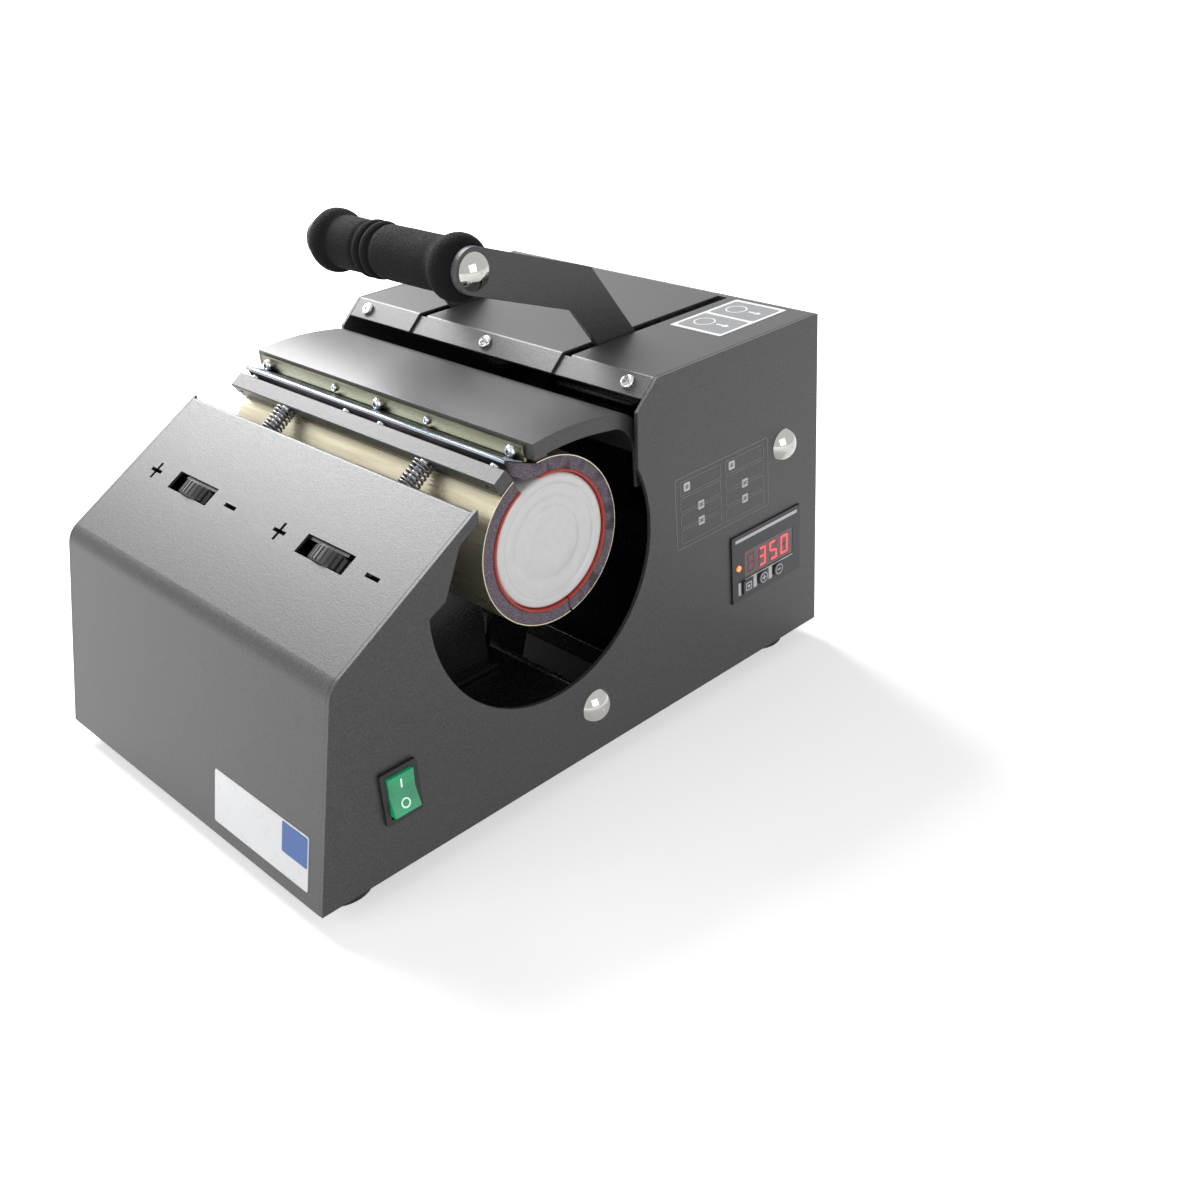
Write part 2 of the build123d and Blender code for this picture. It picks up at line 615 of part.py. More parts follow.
profile = [
    Line((-grip_end, ROD_RADIUS), (-grip_end, 12.0)),
    ThreePointArc((-grip_end, 12.0), (-54.5, GRIP_BULGE_RADIUS), (-bulge_in, GRIP_RADIUS)),
    Polyline((-bulge_in, GRIP_RADIUS), (-22, GRIP_RADIUS), (-20.5, groove)),
    ThreePointArc((-20.5, groove), (-17, ring_top), (-13.5, groove)),
    ThreePointArc((-13.5, groove), (-10, ring_top), (-6.5, groove)),
    Polyline((-6.5, groove), (-5, GRIP_RADIUS), (bulge_in, GRIP_RADIUS)),
    ThreePointArc((bulge_in, GRIP_RADIUS), (54.5, GRIP_BULGE_RADIUS), (grip_end, 12.0)),
    Polyline((grip_end, 12.0), (grip_end, ROD_RADIUS), (-grip_end, ROD_RADIUS)),
]
foam_grip = revolve(make_face(profile), axis=Axis.X)
save("foam_grip", Pos(0, GRIP_Y, GRIP_Z) * foam_grip)
crank_pins = [
    rod(LINK_PIN_RADIUS, side_low, side_low + ARM_SHEET + LINK_SHEET + LINK_GAP + 0.5, crank_y, crank_z)
    for side_low in (ARM_X - LINK_SHEET - LINK_GAP - 0.5, -ARM_X - ARM_SHEET)
]
save("crank_pins", *crank_pins)

# Links between the handle's cranks and the jaw
jaw_pin = (JAW_PIVOT_Y + LINK_PIN_Y, JAW_PIVOT_Z + LINK_PIN_Z)
link_high = ARM_X - LINK_GAP
link_low = link_high - LINK_SHEET
link_span = math.dist(jaw_pin, (crank_y, crank_z))
link_turn = math.degrees(math.atan2(crank_z - jaw_pin[1], crank_y - jaw_pin[0]))
eye_radius = LINK_WIDTH / 2 + OPEN_PIVOT_GAP
link_face = Rectangle(link_span, LINK_WIDTH)
link_face += Pos(-link_span / 2, 0) * Circle(LINK_WIDTH / 2)
link_face += Pos(link_span / 2, 0) * Circle(eye_radius)
link_face -= Pos(-link_span / 2, 0) * Circle(LINK_PIN_RADIUS + RUNNING_GAP)
link_face -= Pos(link_span / 2, 0) * Circle(LINK_PIN_RADIUS + OPEN_PIVOT_GAP)
link_middle = ((jaw_pin[0] + crank_y) / 2, (jaw_pin[1] + crank_z) / 2)
link_right, link_left = both_sides(
    slab(Pos(*link_middle) * Rot(0, 0, link_turn) * link_face, link_low, link_high)
)
save("link_left", link_left)
save("link_right", link_right)

# Jaw: a curved cover, two arms under it, and the strip that holds the band's rear end
arm_high = link_low - LINK_GAP
arm_low = arm_high - JAW_ARM_SHEET
front_rise = [
    Line((JAW_FRONT_Y, JAW_TOP_Z - JAW_LIP), (JAW_FRONT_Y, JAW_TOP_Z)),
    ThreePointArc((JAW_FRONT_Y, JAW_TOP_Z), (JAW_CROWN_Y, JAW_CROWN_Z), (JAW_BACK_Y, JAW_BACK_Z)),
    ThreePointArc((JAW_BACK_Y, JAW_BACK_Z), (JAW_FALL_Y, JAW_FALL_Z), (JAW_REAR_Y, JAW_KNEE_Z)),
]
skin_path = Wire(front_rise + [Line((JAW_REAR_Y, JAW_KNEE_Z), (JAW_REAR_Y, JAW_REAR_LOW))])
end_path = Wire(front_rise + [Line((JAW_REAR_Y, JAW_KNEE_Z), (JAW_REAR_Y, JAW_END_LOW))])
skin_face = make_face(offset(skin_path, amount=JAW_SHEET, side=Side.RIGHT, closed=True))
end_face = make_face(offset(end_path, amount=JAW_END_DEPTH, side=Side.RIGHT, closed=True))
jaw_cover = slab(skin_face, -JAW_HALF, JAW_HALF)
for end_low in (-JAW_HALF, JAW_HALF - JAW_SHEET):
    jaw_cover += slab(end_face, end_low, end_low + JAW_SHEET)
strip_z = JAW_TOP_Z - 6.2
flange_screw_x = 110.9
small_screw_x = 42.6
save("jaw_cover", jaw_cover)
beyond_rear = JAW_REAR_Y + 30
beyond_front = JAW_FRONT_Y - 20
beyond_low = JAW_PIVOT_Z - JAW_HUB_RADIUS - 5
under_cover = make_face(
    skin_path.edges()
    + Polyline(
        (JAW_REAR_Y, JAW_REAR_LOW),
        (beyond_rear, JAW_REAR_LOW),
        (beyond_rear, beyond_low),
        (beyond_front, beyond_low),
        (beyond_front, JAW_TOP_Z - JAW_LIP),
        (JAW_FRONT_Y, JAW_TOP_Z - JAW_LIP),
    ).edges()
)
arm_front = JAW_CROWN_Y - 4
arm_rear = JAW_REAR_Y + 10
arm_top = JAW_CROWN_Z + 4
jaw_face = polygon(
    (JAW_PIVOT_Y - JAW_HUB_RADIUS, JAW_PIVOT_Z + 4),
    (JAW_PIVOT_Y + JAW_HUB_RADIUS, JAW_PIVOT_Z - 2),
    (jaw_pin[0] - 4, jaw_pin[1] - 40),
    (jaw_pin[0] + 8, jaw_pin[1] - 4),
    (jaw_pin[0] + 6, jaw_pin[1] + 8),
    (arm_rear, JAW_FALL_Z),
    (arm_rear, arm_top),
    (arm_front, arm_top),
    (arm_front, SLEEVE_Z + 32),
    (SLEEVE_Y + 33, SLEEVE_Z - 30),
    (JAW_PIVOT_Y - 2, JAW_PIVOT_Z + 50),
)
jaw_face += Pos(JAW_PIVOT_Y, JAW_PIVOT_Z) * Circle(JAW_HUB_RADIUS)
jaw_face -= Pos(SLEEVE_Y, SLEEVE_Z) * Circle(BAND_OUT)
jaw_face -= Pos(JAW_PIVOT_Y, JAW_PIVOT_Z) * Circle(BORE_RADIUS)
jaw_face -= Pos(*jaw_pin) * Circle(LINK_PIN_RADIUS)
jaw_face = (jaw_face & under_cover) - skin_face
jaw_right, jaw_left = both_sides(slab(jaw_face, arm_low, arm_high))
save("jaw_arm_left", jaw_left)
save("jaw_arm_right", jaw_right)
tube_end = arm_low
save("jaw_tube", slab(Pos(JAW_PIVOT_Y, JAW_PIVOT_Z) * tube_face, -tube_end, tube_end))
strip_sheet = 1.6
flange_strip = Pos(0, JAW_FRONT_Y - strip_sheet / 2, strip_z) * Box(SLEEVE_LENGTH, strip_sheet, 8.4)
save("flange_strip", flange_strip)
flange_screws = []
for screw_x, head_radius, head_height in (
    (-flange_screw_x, 3.4, 3.6),
    (0, 3.4, 3.6),
    (flange_screw_x, 3.4, 3.6),
    (-small_screw_x, 2.2, 1.8),
    (small_screw_x, 2.2, 1.8),
):
    flange_screws.append(
        Pos(screw_x, JAW_FRONT_Y - strip_sheet, strip_z)
        * Rot(90, 0, 0)
        * screw_head(head_radius, head_height, head_radius * 0.45)
    )
save("flange_screws", *flange_screws)
link_pins = []
pin_length = JAW_ARM_SHEET + LINK_GAP + LINK_SHEET + 0.5
for pin_low in (arm_low, -arm_low - pin_length):
    link_pins.append(rod(LINK_PIN_RADIUS, pin_low, pin_low + pin_length, *jaw_pin))
save("link_pins", *link_pins)

# Tumbler blank: a straight cup that lies in the sleeve with its closed end to the right
blank_end = half_sleeve - 0.5
blank_mouth = blank_end - TUMBLER_LENGTH
blank_floor = 3.0
tumbler = rod(TUMBLER_RADIUS, blank_mouth, blank_end, SLEEVE_Y, SLEEVE_Z)
tumbler = fillet(tumbler.edges().group_by(Axis.X)[-1], 1.5)
tumbler -= rod(TUMBLER_RADIUS - TUMBLER_WALL, blank_mouth - 1, blank_end - blank_floor, SLEEVE_Y, SLEEVE_Z)
for ring_out, ring_in in ((31.0, 29.5), (19.0, 17.8)):
    ring = Pos(SLEEVE_Y, SLEEVE_Z) * (Circle(ring_out) - Circle(ring_in))
    tumbler -= slab(ring, blank_end - 0.7, blank_end + 1)
save("tumbler_blank", tumbler)

# Rocker switch
bezel_proud = 2.0
switch_wall = 2.0
switch_back = HALF - 14
bezel = Pos(HALF + bezel_proud / 2, SWITCH_Y, SWITCH_Z) * Box(bezel_proud, SWITCH_DEEP, SWITCH_TALL)
bezel = fillet(bezel.edges().filter_by(Axis.X), 1.5)
bezel += Pos((HALF + switch_back) / 2, SWITCH_Y, SWITCH_Z) * Box(
    HALF - switch_back, SWITCH_DEEP - 2.2, SWITCH_TALL - 2.2
)
bezel -= Pos(HALF + bezel_proud - 8, SWITCH_Y, SWITCH_Z) * Box(
    16, SWITCH_DEEP - 3 * switch_wall, SWITCH_TALL - 3 * switch_wall
)
save("switch_bezel", bezel)
rocker_pivot_x = HALF - 3
rocker_half = (SWITCH_TALL - 3 * switch_wall) / 2 - 1.4
rocker_wide = SWITCH_DEEP - 3 * switch_wall - 0.6
rocker_face = make_face(
    Polyline(
        (-2.5, -6), (-2.5, 6), (4, rocker_half), (7.6, rocker_half), (5.6, 0),
        (7.6, -rocker_half), (4, -rocker_half), close=True,
    )
)
rocker = extrude(Plane.XZ * rocker_face, amount=rocker_wide / 2, both=True)
save("rocker", Pos(rocker_pivot_x, SWITCH_Y, SWITCH_Z) * Rot(0, -ROCKER_TILT, 0) * rocker)

# Control panel, its window, lamp, board and keys
panel_sheet = 1.2
lamp_y = PANEL_Y - PANEL_LONG / 2 + 5.5
lamp_radius = 1.8
panel_mid = HALF + panel_sheet / 2
panel = Pos(panel_mid, PANEL_Y, PANEL_Z) * Box(panel_sheet, PANEL_LONG, PANEL_TALL)
panel -= Pos(panel_mid, WINDOW_Y, WINDOW_Z) * Box(4, WINDOW_LONG, WINDOW_TALL)
panel -= rod(lamp_radius, HALF - 1, HALF + 4, lamp_y, WINDOW_Z)
window = Pos(panel_mid - 0.2, WINDOW_Y, WINDOW_Z) * Box(panel_sheet, WINDOW_LONG, WINDOW_TALL)
board_x = INNER - 11
board_sheet = 1.6
board = Pos(board_x, PANEL_Y, PANEL_Z) * Box(board_sheet, PANEL_LONG + 6, PANEL_TALL + 10)
for post_y in (-1, 1):
    for post_z in (-1, 1):
        board += rod(2.5, board_x, INNER, PANEL_Y + post_y * PANEL_LONG / 2, PANEL_Z + post_z * (PANEL_TALL / 2 + 2))
key_front = HALF + panel_sheet + 1.2
key_back = board_x + 3.2
key_gap = 0.25
for name, number in (("key_set", -1), ("key_plus", 0), ("key_minus", 1)):
    key_y = PANEL_Y - 4 + number * KEY_PITCH
    if name == "key_set":
        shape = Rectangle(2 * KEY_RADIUS, 2 * KEY_RADIUS)
        hole = Rectangle(2 * (KEY_RADIUS + key_gap), 2 * (KEY_RADIUS + key_gap))
    else:
        shape = Circle(KEY_RADIUS)
        hole = Circle(KEY_RADIUS + key_gap)
    panel -= slab(Pos(key_y, KEY_Z) * hole, HALF - 1, HALF + 4)
    save(name, slab(Pos(key_y, KEY_Z) * shape, key_back, key_front))
    board += rod(3.0, board_x, key_back - 1.4, key_y, KEY_Z)
save("control_panel", panel)
save("display_window", window)
save("indicator_lamp", rod(lamp_radius, HALF - 2, HALF + panel_sheet + 0.5, lamp_y, WINDOW_Z))
save("control_board", board)

# Power inlet with its three pins
inlet_depth = 20.0
cavity_depth = 15.0
inlet = Pos(INLET_X, BODY_DEPTH + INLET_PROUD / 2, INLET_Z) * Box(INLET_WIDE, INLET_PROUD, INLET_TALL)
inlet = fillet(inlet.edges().filter_by(Axis.Y), 4.0)
inlet += Pos(INLET_X, BODY_DEPTH - inlet_depth / 2, INLET_Z) * Box(
    socket_wide, inlet_depth, socket_tall
)
inlet -= Pos(INLET_X, BODY_DEPTH + INLET_PROUD - cavity_depth / 2, INLET_Z) * Box(
    socket_wide - 3, cavity_depth, socket_tall - 3
)
for pin_x, pin_z in ((-7, 1), (0, 5), (7, 1)):
    inlet += Pos(INLET_X + pin_x, BODY_DEPTH - 7, INLET_Z + pin_z) * Box(2, 13, 4)
inlet_screw_x = 20.0
screw_sink = 2.0
inlet_screws = []
for side in (-1, 1):
    screw_place = Pos(INLET_X + side * inlet_screw_x, BODY_DEPTH + INLET_PROUD - screw_sink / 2, INLET_Z)
    screw = screw_place * Rot(-90, 0, 0) * Cylinder(2.6, screw_sink)
    inlet -= screw
    inlet_screws.append(screw)
save("power_inlet", inlet)
save("inlet_screws", *inlet_screws)

# Feet and their screws
recess = 5.0
feet = []
foot_screws = []
for foot_x in (-FOOT_X, FOOT_X):
    for foot_y in (FOOT_FRONT_Y, FOOT_REAR_Y):
        foot = Cone(FOOT_RADIUS - 1.5, FOOT_RADIUS, FOOT_HEIGHT, align=(Align.CENTER, Align.CENTER, Align.MIN))
        foot -= Cylinder(6, recess, align=(Align.CENTER, Align.CENTER, Align.MIN))
        foot -= Cylinder(2, 2 * FOOT_HEIGHT)
        screw = Pos(0, 0, recess - 3) * Cylinder(4, 3, align=(Align.CENTER, Align.CENTER, Align.MIN))
        screw += Pos(0, 0, recess) * Cylinder(
            2, FOOT_HEIGHT + COVER_SHEET - recess, align=(Align.CENTER, Align.CENTER, Align.MIN)
        )
        feet.append(Pos(foot_x, foot_y, 0) * foot)
        foot_screws.append(Pos(foot_x, foot_y, 0) * screw)
        base -= Pos(foot_x, foot_y, FOOT_HEIGHT) * Cylinder(2, 10)
save("feet", *feet)
save("foot_screws", *foot_screws)
save("base_plate", base)
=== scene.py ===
import json
import math

import bmesh
import bpy
from mathutils import Matrix, Vector, noise


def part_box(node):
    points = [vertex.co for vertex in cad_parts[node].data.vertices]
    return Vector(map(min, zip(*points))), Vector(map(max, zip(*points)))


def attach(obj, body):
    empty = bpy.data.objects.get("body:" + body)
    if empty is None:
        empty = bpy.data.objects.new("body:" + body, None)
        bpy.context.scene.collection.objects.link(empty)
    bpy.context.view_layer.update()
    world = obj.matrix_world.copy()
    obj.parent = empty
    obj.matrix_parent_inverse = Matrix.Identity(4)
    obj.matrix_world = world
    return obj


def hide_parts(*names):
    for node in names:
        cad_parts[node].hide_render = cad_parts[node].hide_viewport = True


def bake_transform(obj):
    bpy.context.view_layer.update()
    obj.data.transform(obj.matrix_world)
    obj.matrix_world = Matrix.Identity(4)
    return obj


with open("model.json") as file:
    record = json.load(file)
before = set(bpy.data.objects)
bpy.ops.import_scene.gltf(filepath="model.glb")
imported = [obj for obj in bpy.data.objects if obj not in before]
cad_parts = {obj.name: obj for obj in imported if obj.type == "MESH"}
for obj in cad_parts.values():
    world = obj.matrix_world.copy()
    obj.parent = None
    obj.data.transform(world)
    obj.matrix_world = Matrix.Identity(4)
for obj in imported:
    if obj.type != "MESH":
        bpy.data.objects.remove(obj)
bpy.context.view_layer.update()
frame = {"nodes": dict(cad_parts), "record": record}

# Sizes are in millimetres, measured from the body's front edge, the middle of its width and the bench
MM = 0.001
FRONT_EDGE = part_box("side_plate_right")[0][1]
SIDE_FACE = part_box("side_plate_right")[1][0] / MM
PRINT_THICK = 0.12

SLEEVE_Y = 174.7
SLEEVE_Z = 140.0
TUMBLER_RADIUS = 36.5
SILICONE_IN = TUMBLER_RADIUS + 0.4
SILICONE_OUT = SILICONE_IN + 1.5
FOAM_OUT = SILICONE_OUT + 6.8
BAND_OUT = FOAM_OUT + 0.6
SLEEVE_HALF = 119.0
FOAM_HALF = SLEEVE_HALF - 0.5
REAR_START = -6.0
REAR_END = 167.0
SPLIT_GAP = 1.5
FRONT_END = 333.0
ARC_STEP = 3.0

BAR_Y = 145.3
BAR_Z = 184.15
BAR_ALONG = 9.8
BOLT_SLOPE = math.radians(34.0)
BOLT_X = 64.5
SPRING_SEAT = 37.0
SPRING_WIRE = 1.3
SPRING_RADIUS = 5.3
SPRING_COILS = 14
SPRING_STEPS = 32
SPRING_ROOM = 0.1
CLOSED_ENDS = 0.018

FOAM_UNEVEN = (0.15, 220.0)
GRIP_UNEVEN = (0.25, 90.0)

GRIP_Y = 185.2
GRIP_Z = 269.5
GRIP_RADIUS = 14.4
GRIP_BULGE = 17.4
GRIP_END = 61.7
GRIP_BULGE_X = 54.5
GRIP_SHOULDER_X = 45.5
GRIP_RIM = 12.0
GRIP_BORE = 7.1
GRIP_GROOVE = GRIP_RADIUS - 1.2
GRIP_RING = GRIP_RADIUS + 1.0
RING_PLACES = (-17.0, -10.0)
RING_REACH = 3.5


def at(x, y, z):
    """A point given in millimetres, in the frame's metres."""
    return Vector((x * MM, FRONT_EDGE + y * MM, z * MM))


def add_object(name, mesh, body):
    piece = bpy.data.objects.new(name, mesh)
    bpy.context.scene.collection.objects.link(piece)
    if body:
        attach(piece, body)
    return piece


def mesh_from(name, points, faces, smooth=True):
    mesh = bpy.data.meshes.new(name)
    mesh.from_pydata([tuple(p) for p in points], [], faces)
    mesh.validate()
    for polygon in mesh.polygons:
        polygon.use_smooth = smooth
    return mesh


# Materials

RANGE_SOCKETS = ("From Min", "From Max", "To Min", "To Max")


class Recipe:
    """A Principled material, with short calls for the texture nodes that feed it."""

    def __init__(self, name, metallic=0.0, roughness=0.5, colour=(0.5, 0.5, 0.5), **sockets):
        self.material = bpy.data.materials.new(name)
        self.material.use_nodes = True
        self.tree = self.material.node_tree
        self.shader = self.tree.nodes["Principled BSDF"]
        self.set("Base Color", (*colour, 1))
        self.set("Metallic", metallic)
        self.set("Roughness", roughness)
        for socket, value in sockets.items():
            self.set(socket.replace("_", " "), value)
        self.coordinates = self.add("ShaderNodeTexCoord").outputs["Object"]

    def add(self, kind, **settings):
        node = self.tree.nodes.new(kind)
        for key, value in settings.items():
            setattr(node, key, value)
        return node

    def set(self, socket, value):
        self.shader.inputs[socket].default_value = value

    def link(self, source, target):
        self.tree.links.new(source, target)

    def stretch(self, scale):
        """Texture coordinates scaled differently along each axis."""
        mapping = self.add("ShaderNodeMapping")
        mapping.inputs["Scale"].default_value = scale
        self.link(self.coordinates, mapping.inputs["Vector"])
        self.coordinates = mapping.outputs["Vector"]

    def noise(self, scale, detail=2.0):
        node = self.add("ShaderNodeTexNoise")
        node.inputs["Scale"].default_value = scale
        node.inputs["Detail"].default_value = detail
        self.link(self.coordinates, node.inputs["Vector"])
        return node.outputs["Fac"]

    def cells(self, scale):
        node = self.add("ShaderNodeTexVoronoi")
        node.inputs["Scale"].default_value = scale
        self.link(self.coordinates, node.inputs["Vector"])
        return node.outputs["Distance"]

    def ramp(self, factor, *stops):
        """Colours at positions, such as (0.3, (r, g, b))."""
        node = self.add("ShaderNodeValToRGB")
        elements = node.color_ramp.elements
        while len(elements) < len(stops):
            elements.new(0.5)
        for element, (position, colour) in zip(elements, stops):
            element.position = position
            element.color = (*colour, 1)
        self.link(factor, node.inputs["Fac"])
        return node.outputs["Color"]

    def spread(self, factor, low, high, start=0.3, end=0.7):
        """The factor's span from start to end, as values from low to high."""
        node = self.add("ShaderNodeMapRange")
        for socket, value in zip(RANGE_SOCKETS, (start, end, low, high)):
            node.inputs[socket].default_value = value
        self.link(factor, node.inputs["Value"])
        return node.outputs["Result"]

    def times(self, colour, factor):
        """A colour multiplied by a grey factor."""
        node = self.add("ShaderNodeMix", data_type="RGBA", blend_type="MULTIPLY")
        node.inputs["Factor"].default_value = 1.0
        self.link(colour, node.inputs["A"])
        self.link(factor, node.inputs["B"])
        return node.outputs["Result"]

    def bump(self, height, distance, strength=1.0):
        node = self.add("ShaderNodeBump")
        node.inputs["Strength"].default_value = strength
        node.inputs["Distance"].default_value = distance
        self.link(height, node.inputs["Height"])
        self.link(node.outputs["Normal"], self.shader.inputs["Normal"])

    def feed(self, socket, source):
        self.link(source, self.shader.inputs[socket])


CLOUD_SCALE = 16.0
GRAIN_DETAIL = 3.0
CELL_SPAN = (0.05, 0.75)
NOISE_SPAN = (0.32, 0.68)
GLOW_SCALE = 60.0
GLOW_SPAN = (0.35, 0.62)
GLOW_DIM = 0.55
FINE_SCALE = 900.0
GLOSS_SPREAD = 0.08


def shade(colour, factor):
    return tuple(min(channel * factor, 1.0) for channel in colour)


def grained(name, colour, grain, contrast, roughness, metallic=0.0, depth=0.00004, cloud=0.08, stretch=None,
            cellular=False, **sockets):
    """A surface with fine grain of one scale, faint clouds of tone, and roughness and bump to match."""
    recipe = Recipe(name, metallic=metallic, **sockets)
    clouds = recipe.noise(CLOUD_SCALE, GRAIN_DETAIL)
    if stretch:
        recipe.stretch(stretch)
    fine = recipe.cells(grain) if cellular else recipe.noise(grain, GRAIN_DETAIL)
    low, high = CELL_SPAN if cellular else NOISE_SPAN
    tone = recipe.ramp(fine, (low, shade(colour, 1 - contrast)), (high, shade(colour, 1 + contrast)))
    recipe.feed("Base Color", recipe.times(tone, recipe.spread(clouds, 1 - cloud, 1.0)))
    recipe.feed("Roughness", recipe.spread(fine, roughness[0], roughness[1]))
    recipe.bump(fine, depth)
    return recipe.material


def lit(name, colour, glow, strength, roughness=0.3):
    """Coloured plastic with a lamp behind it, brighter where the lamp is near."""
    recipe = Recipe(name, colour=colour, roughness=roughness, Coat_Weight=0.6, Coat_Roughness=0.1)
    patches = recipe.noise(GLOW_SCALE, 1.0)
    dim, bright = GLOW_SPAN
    recipe.feed("Emission Color", recipe.ramp(patches, (dim, shade(glow, GLOW_DIM)), (bright, glow)))
    recipe.set("Emission Strength", strength)
    fine = recipe.noise(FINE_SCALE)
    recipe.feed("Roughness", recipe.spread(fine, roughness - GLOSS_SPREAD, roughness + GLOSS_SPREAD))
    return recipe.material


PAINT = (0.042, 0.0425, 0.044)
MATERIALS = {
    "painted_shell": grained("powder_coat", PAINT, 1150.0, 0.6, (0.36, 0.5), depth=0.00009,
                             Specular_IOR_Level=0.6),
    "black_steel": grained("black_paint", (0.008, 0.008, 0.009), 1300.0, 0.3, (0.2, 0.34), depth=0.00003,
                           Specular_IOR_Level=0.4),
    "zinc_steel": grained("zinc_plate", (0.62, 0.64, 0.67), 900.0, 0.16, (0.16, 0.32), metallic=1.0,
                          depth=0.00001),
    "chrome": grained("chrome_plate", (0.5, 0.49, 0.47), 300.0, 0.03, (0.03, 0.07), metallic=1.0,
                      depth=0.000002),
    "steel_band": grained("polished_band", (0.74, 0.68, 0.5), 500.0, 0.06, (0.26, 0.36), metallic=0.8,
                          depth=0.000006, stretch=(0.06, 1.0, 1.0)),
    "sleeve_foam": grained("sleeve_foam", (0.17, 0.14, 0.17), 1100.0, 0.5, (0.75, 0.95), depth=0.0002,
                           cellular=True, Specular_IOR_Level=0.3),
    "red_silicone": grained("red_silicone", (0.5, 0.05, 0.03), 700.0, 0.12, (0.35, 0.5), depth=0.00003),
    "grip_foam": grained("grip_foam", (0.008, 0.008, 0.0085), 900.0, 0.5, (0.8, 0.98), depth=0.00025,
                         cellular=True, Specular_IOR_Level=0.15),
    "rubber": grained("foot_rubber", (0.014, 0.014, 0.014), 600.0, 0.25, (0.6, 0.78), depth=0.00005),
    "black_plastic": grained("black_plastic", (0.014, 0.014, 0.016), 1100.0, 0.25, (0.34, 0.5),
                             depth=0.00004),
    "green_plastic": lit("lit_rocker", (0.004, 0.15, 0.06), (0.004, 0.36, 0.15), 0.6),
    "red_window": grained("red_window", (0.09, 0.006, 0.008), 200.0, 0.2, (0.06, 0.12), depth=0.000004,
                          Coat_Weight=0.5, Coat_Roughness=0.05),
    "grey_plastic": grained("key_plastic", (0.05, 0.052, 0.06), 800.0, 0.2, (0.4, 0.55), depth=0.00003),
    "board": grained("circuit_board", (0.015, 0.12, 0.04), 400.0, 0.3, (0.3, 0.45), depth=0.00003),
    "white_blank": grained("white_coating", (0.86, 0.86, 0.855), 260.0, 0.02, (0.16, 0.24), depth=0.000008,
                           cloud=0.03, Coat_Weight=0.5, Coat_Roughness=0.08),
}
PANEL_FILM = grained("panel_film", (0.012, 0.014, 0.022), 900.0, 0.2, (0.28, 0.4), depth=0.00002)
WHITE_PRINT = grained("white_print", (0.74, 0.74, 0.75), 900.0, 0.08, (0.45, 0.6), depth=0.00001)
GREY_PRINT = grained("grey_print", (0.26, 0.27, 0.28), 900.0, 0.12, (0.5, 0.65), depth=0.00001)
MID_PRINT = grained("label_grey", (0.24, 0.25, 0.26), 700.0, 0.1, (0.4, 0.55), depth=0.00001)
BLUE_PRINT = grained("blue_print", (0.03, 0.11, 0.36), 700.0, 0.1, (0.35, 0.5), depth=0.00001)
BADGE_WHITE = grained("badge_white", (0.74, 0.75, 0.77), 120.0, 0.015, (0.25, 0.35), depth=0.000002)
FLANGE_STEEL = grained("flange_steel", (0.17, 0.155, 0.095), 500.0, 0.2, (0.24, 0.36), metallic=1.0,
                       depth=0.00001, stretch=(0.05, 1.0, 1.0))
ROLLED_STEEL = grained("rolled_steel", (0.26, 0.3, 0.34), 500.0, 0.2, (0.18, 0.3), metallic=1.0,
                       depth=0.00001, stretch=(0.05, 1.0, 1.0))
SPRING_STEEL = grained("spring_steel", (0.2, 0.2, 0.21), 900.0, 0.2, (0.24, 0.38), metallic=1.0,
                       depth=0.00001)
GAUZE = grained("vent_gauze", (0.012, 0.012, 0.012), 1400.0, 0.6, (0.6, 0.8), depth=0.0002,
                cellular=True)
LIT_RED = lit("lit_digit", (0.7, 0.01, 0.02), (1.0, 0.03, 0.05), 2.2)
DIM_RED = grained("dim_segment", (0.14, 0.012, 0.014), 500.0, 0.1, (0.2, 0.3), depth=0.00001)
LAMP_GLOW = lit("lit_lamp", (0.9, 0.1, 0.02), (1.0, 0.16, 0.03), 2.6)
ROCKER_MARK = lit("rocker_mark", (0.8, 0.95, 0.85), (0.7, 1.0, 0.8), 0.5)

for subpart in frame["record"]["subparts"]:
    node = frame["nodes"][subpart["node"]]
    material = MATERIALS[subpart["material_slot"]]
    node.data.materials.clear()
    node.data.materials.append(material)
frame["nodes"]["control_panel"].data.materials[0] = PANEL_FILM
frame["nodes"]["indicator_lamp"].data.materials[0] = LAMP_GLOW
frame["nodes"]["flange_strip"].data.materials[0] = FLANGE_STEEL


WELD_DISTANCE = 0.000002
FLAT_ANGLE = 0.3
EDGE_ANGLE = 35.0


def soften(piece, width):
    """Rounds a piece's sharp edges a little, so that they catch the light."""
    weld = piece.modifiers.new("weld", "WELD")
    weld.merge_threshold = WELD_DISTANCE
    flatten = piece.modifiers.new("flatten", "DECIMATE")
    flatten.decimate_type = "DISSOLVE"
    flatten.angle_limit = math.radians(FLAT_ANGLE)
    bevel = piece.modifiers.new("bevel", "BEVEL")
    bevel.width = width * MM
    bevel.segments = 2
    bevel.limit_method = "ANGLE"
    bevel.angle_limit = math.radians(EDGE_ANGLE)
    bevel.use_clamp_overlap = True
    normals = piece.modifiers.new("normals", "WEIGHTED_NORMAL")
    normals.keep_sharp = True


SOFTENED = {
    "side_plate_left": 0.45, "side_plate_right": 0.45, "top_cover": 0.3, "tension_bar": 0.3,
    "jaw_cover": 0.4, "handle_arm_left": 0.7, "handle_arm_right": 0.7, "rear_panel": 0.25,
}
for name, width in SOFTENED.items():
    soften(frame["nodes"][name], width)


# Sleeve: each half is silicone, foam and a steel band


def polar(angle, radius):
    turn = math.radians(angle)
    return (SLEEVE_Y + radius * math.sin(turn), SLEEVE_Z + radius * math.cos(turn))


def arc(radius, start, end):
    count = max(2, round(abs(end - start) / ARC_STEP))
    return [polar(start + (end - start) * step / count, radius) for step in range(count + 1)]


